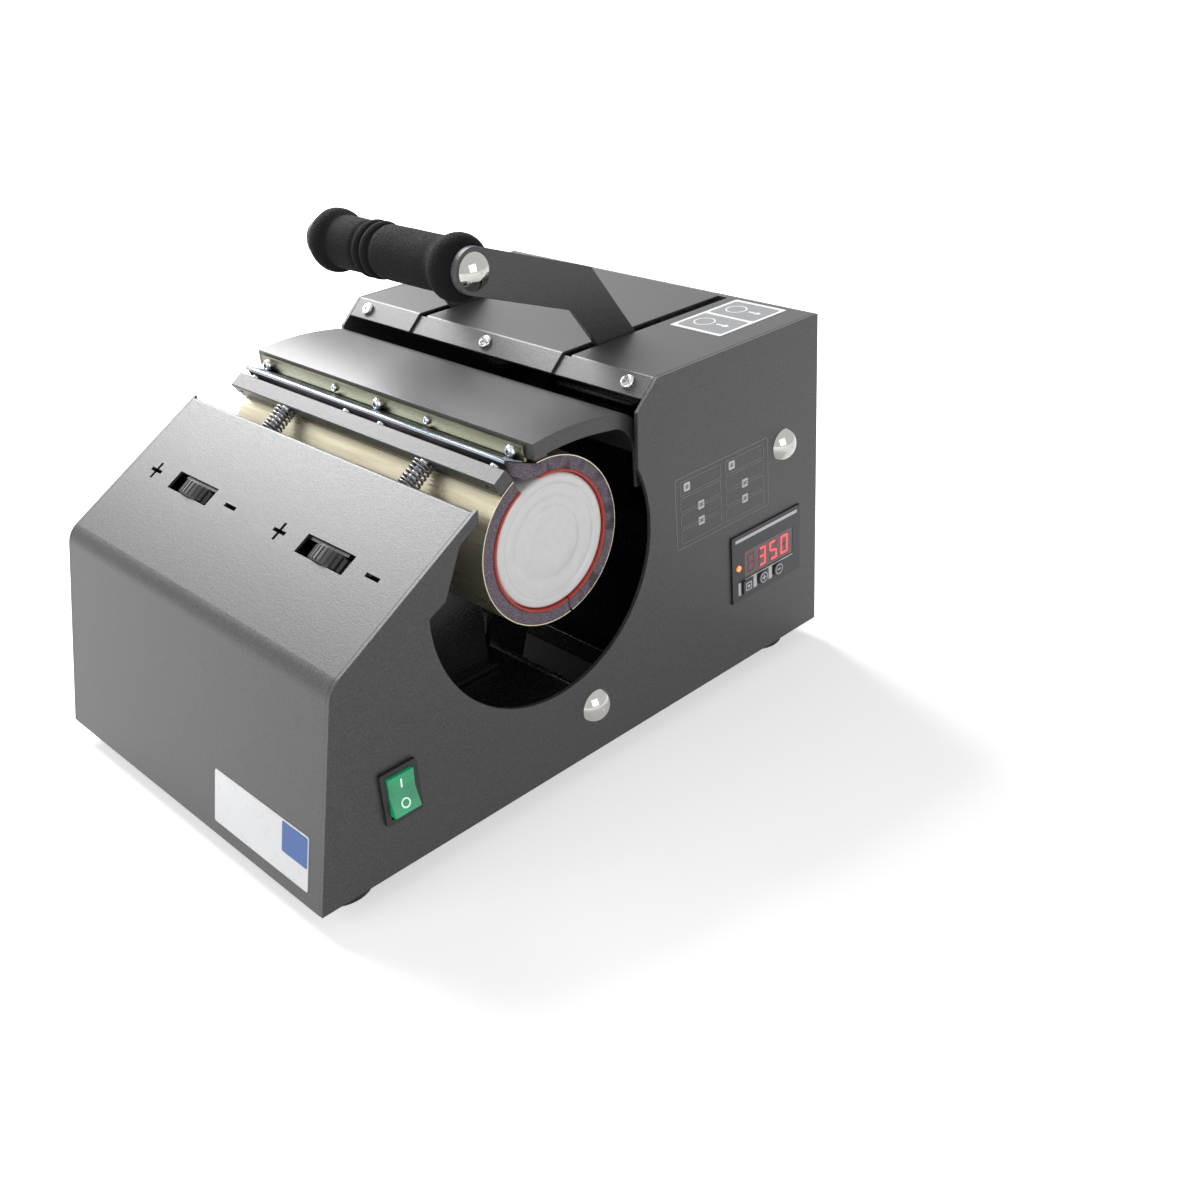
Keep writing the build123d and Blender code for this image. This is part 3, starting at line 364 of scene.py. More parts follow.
def ring_outline(inner, outer, start, end, ear=()):
    """The outline of a part of a ring, with an ear where it starts."""
    return list(ear) + arc(outer, start, end) + arc(inner, end, start)


RIM_ANGLE = 50.0
LENGTHS = 24


def extruded(name, outline, half_length, body, material, rounding):
    """A long piece of one section, in short lengths, with rounded rims."""
    points, faces = [], []
    count = len(outline)
    for section in range(LENGTHS + 1):
        x = half_length * (2 * section / LENGTHS - 1)
        points += [at(x, y, z) for y, z in outline]
    for section in range(LENGTHS):
        base = section * count
        for corner in range(count):
            after = (corner + 1) % count
            faces.append((base + corner, base + after, base + count + after, base + count + corner))
    faces.append(tuple(reversed(range(count))))
    faces.append(tuple(LENGTHS * count + corner for corner in range(count)))
    mesh = mesh_from(name, points, faces)
    shape = bmesh.new()
    shape.from_mesh(mesh)
    bmesh.ops.recalc_face_normals(shape, faces=shape.faces)
    rim = [e for e in shape.edges if len(e.link_faces) == 2 and e.calc_face_angle() > math.radians(RIM_ANGLE)]
    bmesh.ops.bevel(shape, geom=rim, offset=rounding * MM, segments=3, profile=0.5, affect="EDGES",
                    clamp_overlap=True)
    bmesh.ops.triangulate(shape, faces=[f for f in shape.faces if len(f.verts) > 4])
    shape.to_mesh(mesh)
    shape.free()
    mesh.materials.append(material)
    return add_object(name, mesh, body)


def uneven(piece, size, scale):
    """Moves a soft piece's surface in and out by a smooth, repeatable unevenness."""
    mesh = piece.data
    normals = [Vector(v.normal) for v in mesh.vertices]
    for vertex, normal in zip(mesh.vertices, normals):
        vertex.co += normal * size * MM * noise.noise(vertex.co * scale)
    mesh.update()


FOAM_EAR = ((161.5, 178.6), (153.0, 184.3), (149.8, 192.6), (159.6, 188.4))
ear_start = polar(REAR_START, SILICONE_OUT)
foam_ear = [ear_start, *FOAM_EAR]
split = REAR_END + SPLIT_GAP
SLEEVE = {
    "silicone_front": (SILICONE_IN, SILICONE_OUT, split, FRONT_END, (), SLEEVE_HALF, "red_silicone", 0.5),
    "foam_front": (SILICONE_OUT, FOAM_OUT, split, FRONT_END, (), FOAM_HALF, "sleeve_foam", 0.8),
    "band_front": (FOAM_OUT, BAND_OUT, split, FRONT_END, (), FOAM_HALF, "steel_band", 0.12),
    "silicone_rear": (SILICONE_IN, SILICONE_OUT, REAR_START, REAR_END, (), SLEEVE_HALF, "red_silicone", 0.5),
    "foam_rear": (SILICONE_OUT, FOAM_OUT, REAR_START, REAR_END, foam_ear, FOAM_HALF, "sleeve_foam", 0.8),
    "band_rear": (FOAM_OUT, BAND_OUT, REAR_START, REAR_END, (), FOAM_HALF, "steel_band", 0.12),
}
for node_name, (inner, outer, start, end, ear, half, slot, rounding) in SLEEVE.items():
    outline = ring_outline(inner, outer, start, end, ear)
    flexes = node_name.endswith("rear")
    body = None if flexes else "root"
    piece = extruded("sleeve_" + node_name, outline, half, body, MATERIALS[slot], rounding)
    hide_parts(node_name)
    if "foam" in node_name:
        uneven(piece, *FOAM_UNEVEN)
    if flexes:
        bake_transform(piece)


# Springs on the tension bolts, with closed end turns


def bolt_point(along, x, across, above):
    """A point by its distance along a tension bolt from the bar, and across and above the bolt's axis."""
    cos, sin = math.cos(BOLT_SLOPE), math.sin(BOLT_SLOPE)
    return at(x + across, BAR_Y + along * cos - above * sin, BAR_Z + along * sin + above * cos)


def tube(name, line, radius, sides, body, material):
    """A round wire along a smooth line of points, closed at both ends."""
    points, faces = [], []
    side = None
    for number, point in enumerate(line):
        ahead = line[min(number + 1, len(line) - 1)]
        behind = line[max(number - 1, 0)]
        forward = (ahead - behind).normalized()
        side = (side or forward.orthogonal()) - forward * forward.dot(side or forward.orthogonal())
        side.normalize()
        other = forward.cross(side)
        for corner in range(sides):
            turn = 2 * math.pi * corner / sides
            points.append(point + (side * math.cos(turn) + other * math.sin(turn)) * radius)
    for number in range(len(line) - 1):
        base = number * sides
        for corner in range(sides):
            after = (corner + 1) % sides
            faces.append((base + corner, base + after, base + sides + after, base + sides + corner))
    faces.append(tuple(reversed(range(sides))))
    faces.append(tuple((len(line) - 1) * sides + corner for corner in range(sides)))
    mesh = mesh_from(name, points, faces)
    mesh.materials.append(material)
    return add_object(name, mesh, body)


def spring_line(x):
    """The middle of a spring's wire, with the end turns closer together than the rest."""
    low = -SPRING_SEAT + SPRING_WIRE / 2 + SPRING_ROOM
    high = -BAR_ALONG / 2 - SPRING_WIRE / 2 - SPRING_ROOM
    steps = SPRING_COILS * SPRING_STEPS
    line = []
    for step in range(steps + 1):
        part = step / steps
        eased = part - CLOSED_ENDS * math.sin(4 * math.pi * part)
        turn = 2 * math.pi * SPRING_COILS * part
        line.append(bolt_point(low + (high - low) * eased, x, SPRING_RADIUS * math.cos(turn),
                               SPRING_RADIUS * math.sin(turn)))
    return line


springs = [
    tube(f"tension_spring_{side}", spring_line(x), SPRING_WIRE / 2 * MM, 12, "root", SPRING_STEEL)
    for side, x in (("left", -BOLT_X), ("right", BOLT_X))
]
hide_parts("tension_springs")


# Foam grip: a lathed tube with bulged ends and two raised rings


def arc_through(start, peak, end, count=10):
    """Points on the circle through three points, from start to end."""
    (ax, ay), (bx, by), (cx, cy) = start, peak, end
    double = 2 * (ax * (by - cy) + bx * (cy - ay) + cx * (ay - by))
    a, b, c = ax * ax + ay * ay, bx * bx + by * by, cx * cx + cy * cy
    ox = (a * (by - cy) + b * (cy - ay) + c * (ay - by)) / double
    oy = (a * (cx - bx) + b * (ax - cx) + c * (bx - ax)) / double
    radius = math.hypot(ax - ox, ay - oy)
    first = math.atan2(ay - oy, ax - ox)
    last = math.atan2(cy - oy, cx - ox)
    if last > first:
        last -= 2 * math.pi
    return [
        (ox + radius * math.cos(first + (last - first) * k / count),
         oy + radius * math.sin(first + (last - first) * k / count))
        for k in range(count + 1)
    ]


def lathe(name, profile, y, z, sides, body, material):
    """A profile of (x, radius) points turned about a line along X."""
    points, faces = [], []
    for x, radius in profile:
        for corner in range(sides):
            turn = 2 * math.pi * corner / sides
            points.append(at(x, y + radius * math.cos(turn), z + radius * math.sin(turn)))
    for number in range(len(profile)):
        base = number * sides
        onward = (number + 1) % len(profile) * sides
        for corner in range(sides):
            after = (corner + 1) % sides
            faces.append((base + corner, base + after, onward + after, onward + corner))
    mesh = mesh_from(name, points, faces)
    shape = bmesh.new()
    shape.from_mesh(mesh)
    bmesh.ops.recalc_face_normals(shape, faces=shape.faces)
    shape.to_mesh(mesh)
    shape.free()
    mesh.materials.append(material)
    return add_object(name, mesh, body)


left_end = arc_through((-GRIP_END, GRIP_RIM), (-GRIP_BULGE_X, GRIP_BULGE), (-GRIP_SHOULDER_X, GRIP_RADIUS))
right_end = arc_through((GRIP_SHOULDER_X, GRIP_RADIUS), (GRIP_BULGE_X, GRIP_BULGE), (GRIP_END, GRIP_RIM))
plain_left = [(x, GRIP_RADIUS) for x in range(-43, -21, 3)]
ring_one, ring_two = (
    arc_through((x - RING_REACH, GRIP_GROOVE), (x, GRIP_RING), (x + RING_REACH, GRIP_GROOVE))
    for x in RING_PLACES
)
plain_right = [(x, GRIP_RADIUS) for x in range(-4, 44, 3)]
bore = [(GRIP_END, GRIP_BORE), (-GRIP_END, GRIP_BORE)]
grip_profile = left_end + plain_left + ring_one + ring_two[1:] + plain_right + right_end + bore
grip = lathe("foam_grip_cover", grip_profile, GRIP_Y, GRIP_Z, 72, "handle", MATERIALS["grip_foam"])
uneven(grip, *GRIP_UNEVEN)
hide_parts("foam_grip")


# Prints and plates: thin raised shapes on a flat face


class Face:
    """A flat face of the body, with places on it in millimetres."""

    def __init__(self, origin, across, up):
        self.origin = origin
        self.across = across.normalized()
        self.up = up.normalized()
        self.normal = self.across.cross(self.up)

    def point(self, a, b, height=0.0):
        return self.origin + (self.across * a + self.up * b + self.normal * height) * MM


def rectangle(low_a, low_b, high_a, high_b):
    return [(low_a, low_b), (high_a, low_b), (high_a, high_b), (low_a, high_b)]


def rounded(low_a, low_b, high_a, high_b, radius, steps=5):
    """A rectangle with round corners."""
    corners = ((high_a - radius, high_b - radius, 0), (low_a + radius, high_b - radius, 90),
               (low_a + radius, low_b + radius, 180), (high_a - radius, low_b + radius, 270))
    points = []
    for a, b, start in corners:
        for step in range(steps + 1):
            turn = math.radians(start + 90 * step / steps)
            points.append((a + radius * math.cos(turn), b + radius * math.sin(turn)))
    return points


def disc(a, b, radius, sides=32):
    return [(a + radius * math.cos(2 * math.pi * k / sides), b + radius * math.sin(2 * math.pi * k / sides))
            for k in range(sides)]


def loop(outer, inner):
    """Four-sided strips that fill the space between two outlines with as many points."""
    count = len(outer)
    return [[outer[k], outer[(k + 1) % count], inner[(k + 1) % count], inner[k]] for k in range(count)]


def frame_lines(low_a, low_b, high_a, high_b, line):
    return [
        rectangle(low_a, low_b, high_a, low_b + line),
        rectangle(low_a, high_b - line, high_a, high_b),
        rectangle(low_a, low_b, low_a + line, high_b),
        rectangle(high_a - line, low_b, high_a, high_b),
    ]


def raised(name, face, shapes, material, body="root", base=0.0, thick=PRINT_THICK):
    """Flat shapes with a little thickness, standing on a face."""
    points, faces = [], []
    for shape in shapes:
        start = len(points)
        count = len(shape)
        points += [face.point(a, b, base) for a, b in shape]
        points += [face.point(a, b, base + thick) for a, b in shape]
        faces.append(tuple(start + count + k for k in range(count)))
        faces.append(tuple(start + k for k in reversed(range(count))))
        for k in range(count):
            after = (k + 1) % count
            faces.append((start + k, start + after, start + count + after, start + count + k))
    mesh = mesh_from(name, points, faces, smooth=False)
    mesh.materials.append(material)
    return add_object(name, mesh, body)


side_face = Face(at(SIDE_FACE, 0, 0), Vector((0, 1, 0)), Vector((0, 0, 1)))

# Key diagram: boxes and key symbols
DIAGRAM_LOW_Y = 253.0
DIAGRAM_HIGH_Y = 331.0
DIAGRAM_LOW_Z = 107.4
DIAGRAM_HIGH_Z = 150.0
DIAGRAM_LINE = 0.45
BOX_LINE = 0.35
BOX_TALL = 8.4
COLUMN_LONG = 33.0
COLUMN_INSET = 4.0
ROW_START = 2.6
ROW_PITCH = BOX_TALL + 1.2
ICON = 2.5
ICON_ROUND = 0.7
ICON_DOT = 1.1
ICON_DROP = 0.6
TOP_ICON_Y = 5.5
TOP_ICON_RISE = 5.0
diagram = frame_lines(DIAGRAM_LOW_Y, DIAGRAM_LOW_Z, DIAGRAM_HIGH_Y, DIAGRAM_HIGH_Z, DIAGRAM_LINE)
icons, icon_dots = [], []
for column_y in (DIAGRAM_LOW_Y + COLUMN_INSET, DIAGRAM_HIGH_Y - COLUMN_INSET - COLUMN_LONG):
    for row in range(4):
        row_z = DIAGRAM_LOW_Z + ROW_START + row * ROW_PITCH
        diagram += frame_lines(column_y, row_z, column_y + COLUMN_LONG, row_z + BOX_TALL, BOX_LINE)
    for icon_row in range(3):
        icon_z = DIAGRAM_LOW_Z + ROW_START + (icon_row + 1) * ROW_PITCH - ICON_DROP
        icon_y = column_y + COLUMN_LONG / 2
        if icon_row == 2:
            icon_y, icon_z = column_y + TOP_ICON_Y, icon_z + TOP_ICON_RISE
        icons.append(rounded(icon_y - ICON, icon_z - ICON, icon_y + ICON, icon_z + ICON, ICON_ROUND))
        icon_dots.append(rectangle(icon_y - ICON_DOT, icon_z - ICON_DOT,
                                   icon_y + ICON_DOT, icon_z + ICON_DOT))
raised("key_diagram_lines", side_face, diagram, GREY_PRINT)
raised("key_diagram_icons", side_face, icons, WHITE_PRINT)
raised("key_diagram_dots", side_face, icon_dots, MID_PRINT, base=PRINT_THICK, thick=0.06)

# Control panel: white lines, blocks round the keys, key symbols and digits
panel_low, panel_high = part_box("control_panel")
window_low, window_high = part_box("display_window")
panel_face = Face(Vector((panel_high[0], FRONT_EDGE, 0)), Vector((0, 1, 0)), Vector((0, 0, 1)))
window_face = Face(Vector((window_high[0], FRONT_EDGE, 0)), Vector((0, 1, 0)), Vector((0, 0, 1)))


def span(box):
    """A box's low and high corner across and up a side face, in millimetres."""
    low, high = box
    return ((low[1] - FRONT_EDGE) / MM, low[2] / MM, (high[1] - FRONT_EDGE) / MM, high[2] / MM)


panel_a, _, panel_c, panel_d = span((panel_low, panel_high))
window_a, window_b, window_c, window_d = span((window_low, window_high))
LINE_INSET = 3.0
TOP_LINE = (4.4, 2.4)
WINDOW_LINE = (1.3, 0.7)
BLOCK_TALL = 4.0
BLOCK_WIDE = 1.5
FIRST_BLOCK = (8.0, 5.8)
panel_marks = [
    rectangle(panel_a + LINE_INSET, panel_d - TOP_LINE[0], panel_c - LINE_INSET, panel_d - TOP_LINE[1]),
    rectangle(window_a, window_b - WINDOW_LINE[0], window_c, window_b - WINDOW_LINE[1]),
]
keys = {name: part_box(name) for name in ("key_set", "key_plus", "key_minus")}
key_spans = {name: span(box) for name, box in keys.items()}
key_centres = {name: ((s[0] + s[2]) / 2, (s[1] + s[3]) / 2) for name, s in key_spans.items()}
key_row = key_centres["key_plus"][1]
key_places = sorted(key_centres.values())
for (left_a, row_b), (right_a, _) in zip(key_places, key_places[1:]):
    middle = (left_a + right_a) / 2
    panel_marks.append(rectangle(middle - BLOCK_WIDE, row_b - BLOCK_TALL,
                                 middle + BLOCK_WIDE, row_b + BLOCK_TALL))
first_key = key_places[0][0]
panel_marks.append(rectangle(first_key - FIRST_BLOCK[0], key_row - BLOCK_TALL,
                             first_key - FIRST_BLOCK[1], key_row + BLOCK_TALL))
raised("panel_marks", panel_face, panel_marks, WHITE_PRINT)

SET_OUTER = 2.6
SET_INNER = 2.0
SET_DOT = 0.9
RING_OUTER = 3.3
RING_INNER = 2.8
SIGN_HALF = 1.7
SIGN_LINE = 0.35
key_face = Face(Vector((keys["key_plus"][1][0], FRONT_EDGE, 0)), Vector((0, 1, 0)), Vector((0, 0, 1)))
for name, (a, b) in key_centres.items():
    if name == "key_set":
        marks = loop(rounded(a - SET_OUTER, b - SET_OUTER, a + SET_OUTER, b + SET_OUTER, 0.6),
                     rounded(a - SET_INNER, b - SET_INNER, a + SET_INNER, b + SET_INNER, 0.4))
        marks.append(rectangle(a - SET_DOT, b - SET_DOT, a + SET_DOT, b + SET_DOT))
    else:
        marks = loop(disc(a, b, RING_OUTER), disc(a, b, RING_INNER))
        marks.append(rectangle(a - SIGN_HALF, b - SIGN_LINE, a + SIGN_HALF, b + SIGN_LINE))
        if name == "key_plus":
            marks.append(rectangle(a - SIGN_LINE, b + SIGN_LINE, a + SIGN_LINE, b + SIGN_HALF))
            marks.append(rectangle(a - SIGN_LINE, b - SIGN_HALF, a + SIGN_LINE, b - SIGN_LINE))
    raised(name + "_mark", key_face, marks, WHITE_PRINT, body=name)

SEGMENTS = {"0": "abcdef", "3": "abgcd", "5": "afgcd", " ": ""}
DIGIT_WIDE = 6.2
DIGIT_TALL = 12.0
SEGMENT_WIDE = 1.2
DIGIT_PITCH = 10.2
DIGIT_START = 2.6
SEGMENT_GAP = 0.15


def segment_shapes(a, b):
    """The seven segments of a digit, by letter, with its lower corner at a, b."""
    half = DIGIT_TALL / 2
    right = a + DIGIT_WIDE
    line = SEGMENT_WIDE
    gap = SEGMENT_GAP
    return {
        "a": rectangle(a + line, b + DIGIT_TALL - line, right - line, b + DIGIT_TALL),
        "b": rectangle(right - line + gap, b + half + gap, right + gap, b + DIGIT_TALL - gap),
        "c": rectangle(right - line + gap, b + gap, right + gap, b + half - gap),
        "d": rectangle(a + line, b, right - line, b + line),
        "e": rectangle(a - gap, b + gap, a + line - gap, b + half - gap),
        "f": rectangle(a - gap, b + half + gap, a + line - gap, b + DIGIT_TALL - gap),
        "g": rectangle(a + line, b + half - line / 2, right - line, b + half + line / 2),
    }


lit_segments, dim_segments = [], []
for place, digit in enumerate(" 350"):
    digit_low = (window_b + window_d - DIGIT_TALL) / 2
    shapes = segment_shapes(window_a + DIGIT_START + place * DIGIT_PITCH, digit_low)
    for letter, shape in shapes.items():
        (lit_segments if letter in SEGMENTS[digit] else dim_segments).append(shape)
raised("display_digits", window_face, lit_segments, LIT_RED, thick=0.08)
raised("display_dim_segments", window_face, dim_segments, DIM_RED, thick=0.05)

# Blank badge on the leaning front face
LEAN_RUN = 26.2
LEAN_RISE = 115.2
FOOT_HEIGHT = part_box("nose_cover")[0][2] / MM
front_face = Face(at(0, 0, FOOT_HEIGHT), Vector((1, 0, 0)), Vector((0, LEAN_RUN, LEAN_RISE)))
BADGE = (32.8, 8.0, 119.5, 38.0)
BADGE_BAND = (96.5, 20.5, 118.6, 37.1)
BADGE_THICK = 0.35
raised("badge_plate", front_face, [rounded(*BADGE, 1.2)], BADGE_WHITE, thick=BADGE_THICK)
raised("badge_band", front_face, [rounded(*BADGE_BAND, 0.8)], BLUE_PRINT, base=BADGE_THICK)

# Plain pictogram plate on the top
top_face = Face(at(0, 0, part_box("top_cover")[1][2] / MM), Vector((1, 0, 0)), Vector((0, 1, 0)))
PLATE = (75.5, 313.0, 113.5, 371.0)
PLATE_THICK = 0.2
FIELDS = ((78.0, 316.0, 111.0, 340.5), (78.0, 343.5, 111.0, 368.0))
PICTURE_Y = (328.2, 355.8)
PICTURE_X = 88.5
PICTURE_RADII = (6.5, 5.6)
ARROW_X = (97.5, 103.0, 107.0)
ARROW_HALF = (0.8, 2.4)
raised("top_plate", top_face, [rounded(*PLATE, 1.0)], BADGE_WHITE, thick=PLATE_THICK)
raised("top_plate_fields", top_face, [rounded(*field, 2.0) for field in FIELDS], MID_PRINT, base=PLATE_THICK)
pictures = []
for field_y in PICTURE_Y:
    pictures += loop(*(disc(PICTURE_X, field_y, radius) for radius in PICTURE_RADII))
    tail, neck, tip = ARROW_X
    thin, wide = ARROW_HALF
    pictures.append(rectangle(tail, field_y - thin, neck, field_y + thin))
    pictures.append([(neck, field_y - wide), (tip, field_y), (neck, field_y + wide)])
raised("top_plate_marks", top_face, pictures, BADGE_WHITE, base=PLATE_THICK + PRINT_THICK, thick=0.06)

# On and off marks on the rocker
ROCKER_PIVOT = (129.0, 53.4, 56.8)
ROCKER_TILT = 7.0
ROCKER_SLANT = 10.1
ROCKER_MIDDLE = 6.6
ROCKER_QUARTER = 5.6
MARK_BASE = 0.02
BAR_MARK = (-0.45, -2.6, 0.45, 2.6)
RING_MARK = (2.7, 1.9)
MARK_SHAPES = {
    "on": (1, [rectangle(*BAR_MARK)]),
    "off": (-1, loop(*(disc(0, 0, radius) for radius in RING_MARK))),
}
for name, (half, shapes) in MARK_SHAPES.items():
    tilt = math.radians(ROCKER_TILT)
    out, rise = ROCKER_MIDDLE, half * ROCKER_QUARTER
    slant = math.radians(half * ROCKER_SLANT - ROCKER_TILT)
    place = at(ROCKER_PIVOT[0] + out * math.cos(tilt) - rise * math.sin(tilt), ROCKER_PIVOT[1],
               ROCKER_PIVOT[2] + out * math.sin(tilt) + rise * math.cos(tilt))
    rocker_face = Face(place, Vector((0, 1, 0)), Vector((math.sin(slant), 0, math.cos(slant))))
    raised("rocker_mark_" + name, rocker_face, shapes, ROCKER_MARK, body="rocker", base=MARK_BASE, thick=0.1)

# Rolled steel edge over the sleeve's ear, screw heads behind the tension bar and gauze behind the vents
EAR_EDGE = [(148.7, 192.0), (149.0, 193.4), (150.3, 193.7), (161.0, 189.2), (160.8, 188.7), (150.3, 193.1),
            (149.6, 192.9), (149.4, 191.8)]
rolled_edge = extruded("rolled_band_edge", EAR_EDGE, FOAM_HALF, "jaw", ROLLED_STEEL, 0.15)

LUG_RADIUS = 2.7
LUG_SIDES = 24
LUG_X = (-109.9, -16.0, 16.0, 109.9)


def lug(name, x):
    """A small round screw head with a socket, on the rear face of the tension bar."""
    rear = BAR_ALONG / 2
    rings = [(rear, LUG_RADIUS), (rear + 1.6, LUG_RADIUS), (rear + 2.0, LUG_RADIUS - 0.4),
             (rear + 2.0, 1.3), (rear + 0.8, 1.2)]
    sides = LUG_SIDES
    points, faces = [], []
    for along, radius in rings:
        for corner in range(sides):
            turn = 2 * math.pi * corner / sides
            points.append(bolt_point(along, x, radius * math.cos(turn), radius * math.sin(turn)))
    for number in range(len(rings) - 1):
        for corner in range(sides):
            after = (corner + 1) % sides
            base = number * sides
            faces.append((base + corner, base + after, base + sides + after, base + sides + corner))
    faces.append(tuple((len(rings) - 1) * sides + corner for corner in range(sides)))
    mesh = mesh_from(name, points, faces, smooth=False)
    mesh.materials.append(MATERIALS["zinc_steel"])
    add_object(name, mesh, "root")


for number, x in enumerate(LUG_X, 1):
    lug(f"bar_screw_{number}", x)

panel_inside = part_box("rear_panel")[0][1]
gauze_face = Face(Vector((0, panel_inside, 0)), Vector((1, 0, 0)), Vector((0, 0, 1)))
GAUZE_AREA = (-112.0, 44.0, -28.0, 96.0)
raised("vent_gauze", gauze_face, [rounded(*GAUZE_AREA, 2.0)], GAUZE, base=0.05, thick=0.4)

# Tumbler blank: a lathed cup with a stepped base
blank_low, blank_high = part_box("tumbler_blank")
blank_end = blank_high[0] / MM
blank_mouth = blank_low[0] / MM
WALL = 2.2
MOUTH_STEPS = ((0.0, WALL), (0.0, 0.4), (0.5, 0.0))
BASE_CORNER = ((2.2, 0.0), (1.0, 0.35), (0.3, 1.1), (0.0, 2.2))
BASE_RINGS = (
    (0.0, 31.6), (0.25, 31.2), (0.9, 30.6), (1.0, 29.8), (0.6, 29.0), (0.45, 28.0), (0.45, 25.2), (0.7, 24.5),
    (1.0, 23.9), (1.0, 19.8), (0.7, 19.2), (0.4, 18.4), (0.4, 12.4), (0.6, 11.6), (0.65, 9.0), (0.65, 0.7),
    (0.65, 0.2), (3.0, 0.2),
)
blank_profile = [(blank_mouth + along, TUMBLER_RADIUS - inset) for along, inset in MOUTH_STEPS]
blank_profile += [(blank_end - depth, TUMBLER_RADIUS - inset) for depth, inset in BASE_CORNER]
blank_profile += [(blank_end - depth, radius) for depth, radius in BASE_RINGS]
blank_profile += [(blank_end - 3.0, TUMBLER_RADIUS - WALL - 2.0), (blank_end - 5.0, TUMBLER_RADIUS - WALL)]
blank = lathe("tumbler_blank_cup", blank_profile, SLEEVE_Y, SLEEVE_Z, 128, "tumbler",
              MATERIALS["white_blank"])
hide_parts("tumbler_blank")

# Floor, lights and camera


FLOOR_GLOW = 0.52
FLOOR_GLOW_SPAN = (0.4, 1.6)
WORLD_FILL = 0.25
FLOOR_HALF = 9


def floor_material():
    """A pale floor that shows near white to the camera and keeps the shadow on it. Its glow is weaker near
    the middle than far out, which paints shade on the floor round the press.
    """
    material = bpy.data.materials.new("studio_floor")
    material.use_nodes = True
    tree = material.node_tree
    shader = tree.nodes["Principled BSDF"]
    shader.inputs["Base Color"].default_value = (0.8, 0.8, 0.8, 1)
    shader.inputs["Roughness"].default_value = 0.9
    shader.inputs["Specular IOR Level"].default_value = 0.1
    glow = tree.nodes.new("ShaderNodeEmission")
    glow.inputs["Color"].default_value = (1, 1, 1, 1)
    seen = seen_rays(tree)
    place = tree.nodes.new("ShaderNodeTexCoord")
    distance = tree.nodes.new("ShaderNodeVectorMath")
    distance.operation = "LENGTH"
    tree.links.new(place.outputs["Object"], distance.inputs[0])
    # The glow grows with distance from the middle, so shade is painted on the floor round the press
    far = tree.nodes.new("ShaderNodeMapRange")
    for socket, value in zip(RANGE_SOCKETS, (*FLOOR_GLOW_SPAN, FLOOR_GLOW, 1.0)):
        far.inputs[socket].default_value = value
    tree.links.new(distance.outputs["Value"], far.inputs["Value"])
    strength = tree.nodes.new("ShaderNodeMath")
    strength.operation = "MULTIPLY"
    tree.links.new(seen, strength.inputs[0])
    tree.links.new(far.outputs["Result"], strength.inputs[1])
    tree.links.new(strength.outputs[0], glow.inputs["Strength"])
    both = tree.nodes.new("ShaderNodeAddShader")
    tree.links.new(shader.outputs[0], both.inputs[0])
    tree.links.new(glow.outputs[0], both.inputs[1])
    tree.links.new(both.outputs[0], tree.nodes["Material Output"].inputs["Surface"])
    return material


def seen_rays(tree):
    """1 for rays that come from the camera or off gloss or through glass, and 0 for the rest."""
    path = tree.nodes.new("ShaderNodeLightPath")
    total = path.outputs["Is Camera Ray"]
    for kind in ("Is Glossy Ray", "Is Transmission Ray"):
        larger = tree.nodes.new("ShaderNodeMath")
        larger.operation = "MAXIMUM"
        tree.links.new(total, larger.inputs[0])
        tree.links.new(path.outputs[kind], larger.inputs[1])
        total = larger.outputs[0]
    return total


floor_corners = [(*corner, 0) for corner in rectangle(-FLOOR_HALF, -FLOOR_HALF, FLOOR_HALF, FLOOR_HALF)]
floor_mesh = mesh_from("floor", floor_corners, [(0, 1, 2, 3)], smooth=False)
floor_mesh.materials.append(floor_material())
floor = add_object("studio_floor", floor_mesh, None)

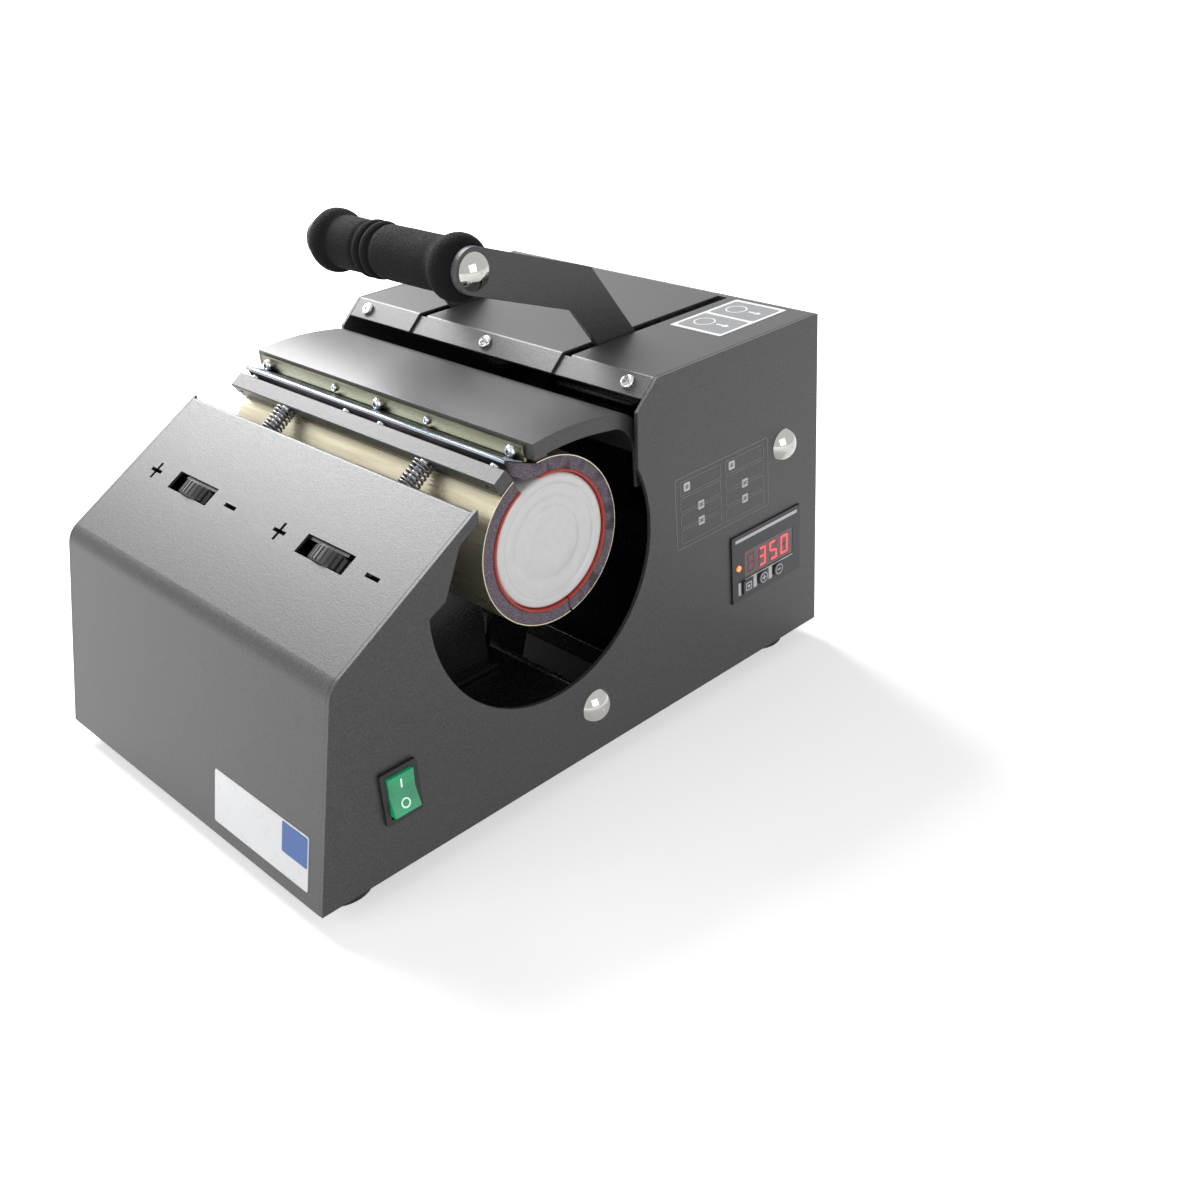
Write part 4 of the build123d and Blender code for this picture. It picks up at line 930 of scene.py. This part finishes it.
scene = bpy.context.scene
world = bpy.data.worlds.new("studio")
world.use_nodes = True
scene.world = world
background = world.node_tree.nodes["Background"]
background.inputs["Color"].default_value = (1, 1, 1, 1)
world_strength = world.node_tree.nodes.new("ShaderNodeMapRange")
world_strength.inputs["To Min"].default_value = WORLD_FILL
world_strength.inputs["To Max"].default_value = 1.0
world.node_tree.links.new(seen_rays(world.node_tree), world_strength.inputs["Value"])
world.node_tree.links.new(world_strength.outputs["Result"], background.inputs["Strength"])


def softbox(name, place, target, size, power):
    light = bpy.data.lights.new(name, "AREA")
    light.shape = "SQUARE"
    light.size = size
    light.energy = power
    lamp = bpy.data.objects.new(name, light)
    lamp.location = place
    lamp.rotation_euler = (Vector(target) - Vector(place)).to_track_quat("-Z", "Y").to_euler()
    scene.collection.objects.link(lamp)


LAMPS = {
    "upper_left": ((-1.15, 0.15, 1.15), (0, 0, 0.12), 1.0, 46.0),
    "front": ((-0.2, -1.7, 0.8), (0, 0, 0.1), 1.2, 11.5),
    "right": ((1.7, -0.3, 0.8), (0, 0, 0.1), 1.2, 8.0),
}
for name, (place, target, size, power) in LAMPS.items():
    softbox(name, place, target, size, power)

CAMERA_PLACE = Vector((0.60024, -0.42044, 0.44578))
CAMERA_AZIMUTH = math.radians(47.83)
CAMERA_ELEVATION = math.radians(28.51)
CAMERA_ROLL = math.radians(-4.23)
SENSOR = 36.0
FOCAL_PIXELS = 1363.08
IMAGE_PIXELS = 1200.0

camera_data = bpy.data.cameras.new("photo_camera")
camera_data.sensor_width = SENSOR
camera_data.lens = FOCAL_PIXELS / IMAGE_PIXELS * SENSOR
camera_data.clip_start = 0.01
camera = bpy.data.objects.new("photo_camera", camera_data)
back = Vector((math.sin(CAMERA_AZIMUTH) * math.cos(CAMERA_ELEVATION),
               -math.cos(CAMERA_AZIMUTH) * math.cos(CAMERA_ELEVATION), math.sin(CAMERA_ELEVATION)))
level = Vector((math.cos(CAMERA_AZIMUTH), math.sin(CAMERA_AZIMUTH), 0))
upright = back.cross(level)
right = level * math.cos(CAMERA_ROLL) + upright * math.sin(CAMERA_ROLL)
up = upright * math.cos(CAMERA_ROLL) - level * math.sin(CAMERA_ROLL)
turn = Matrix((right, up, back)).transposed()
camera.matrix_world = Matrix.Translation(CAMERA_PLACE) @ turn.to_4x4()
scene.collection.objects.link(camera)
scene.camera = camera
scene.view_settings.view_transform = "Standard"
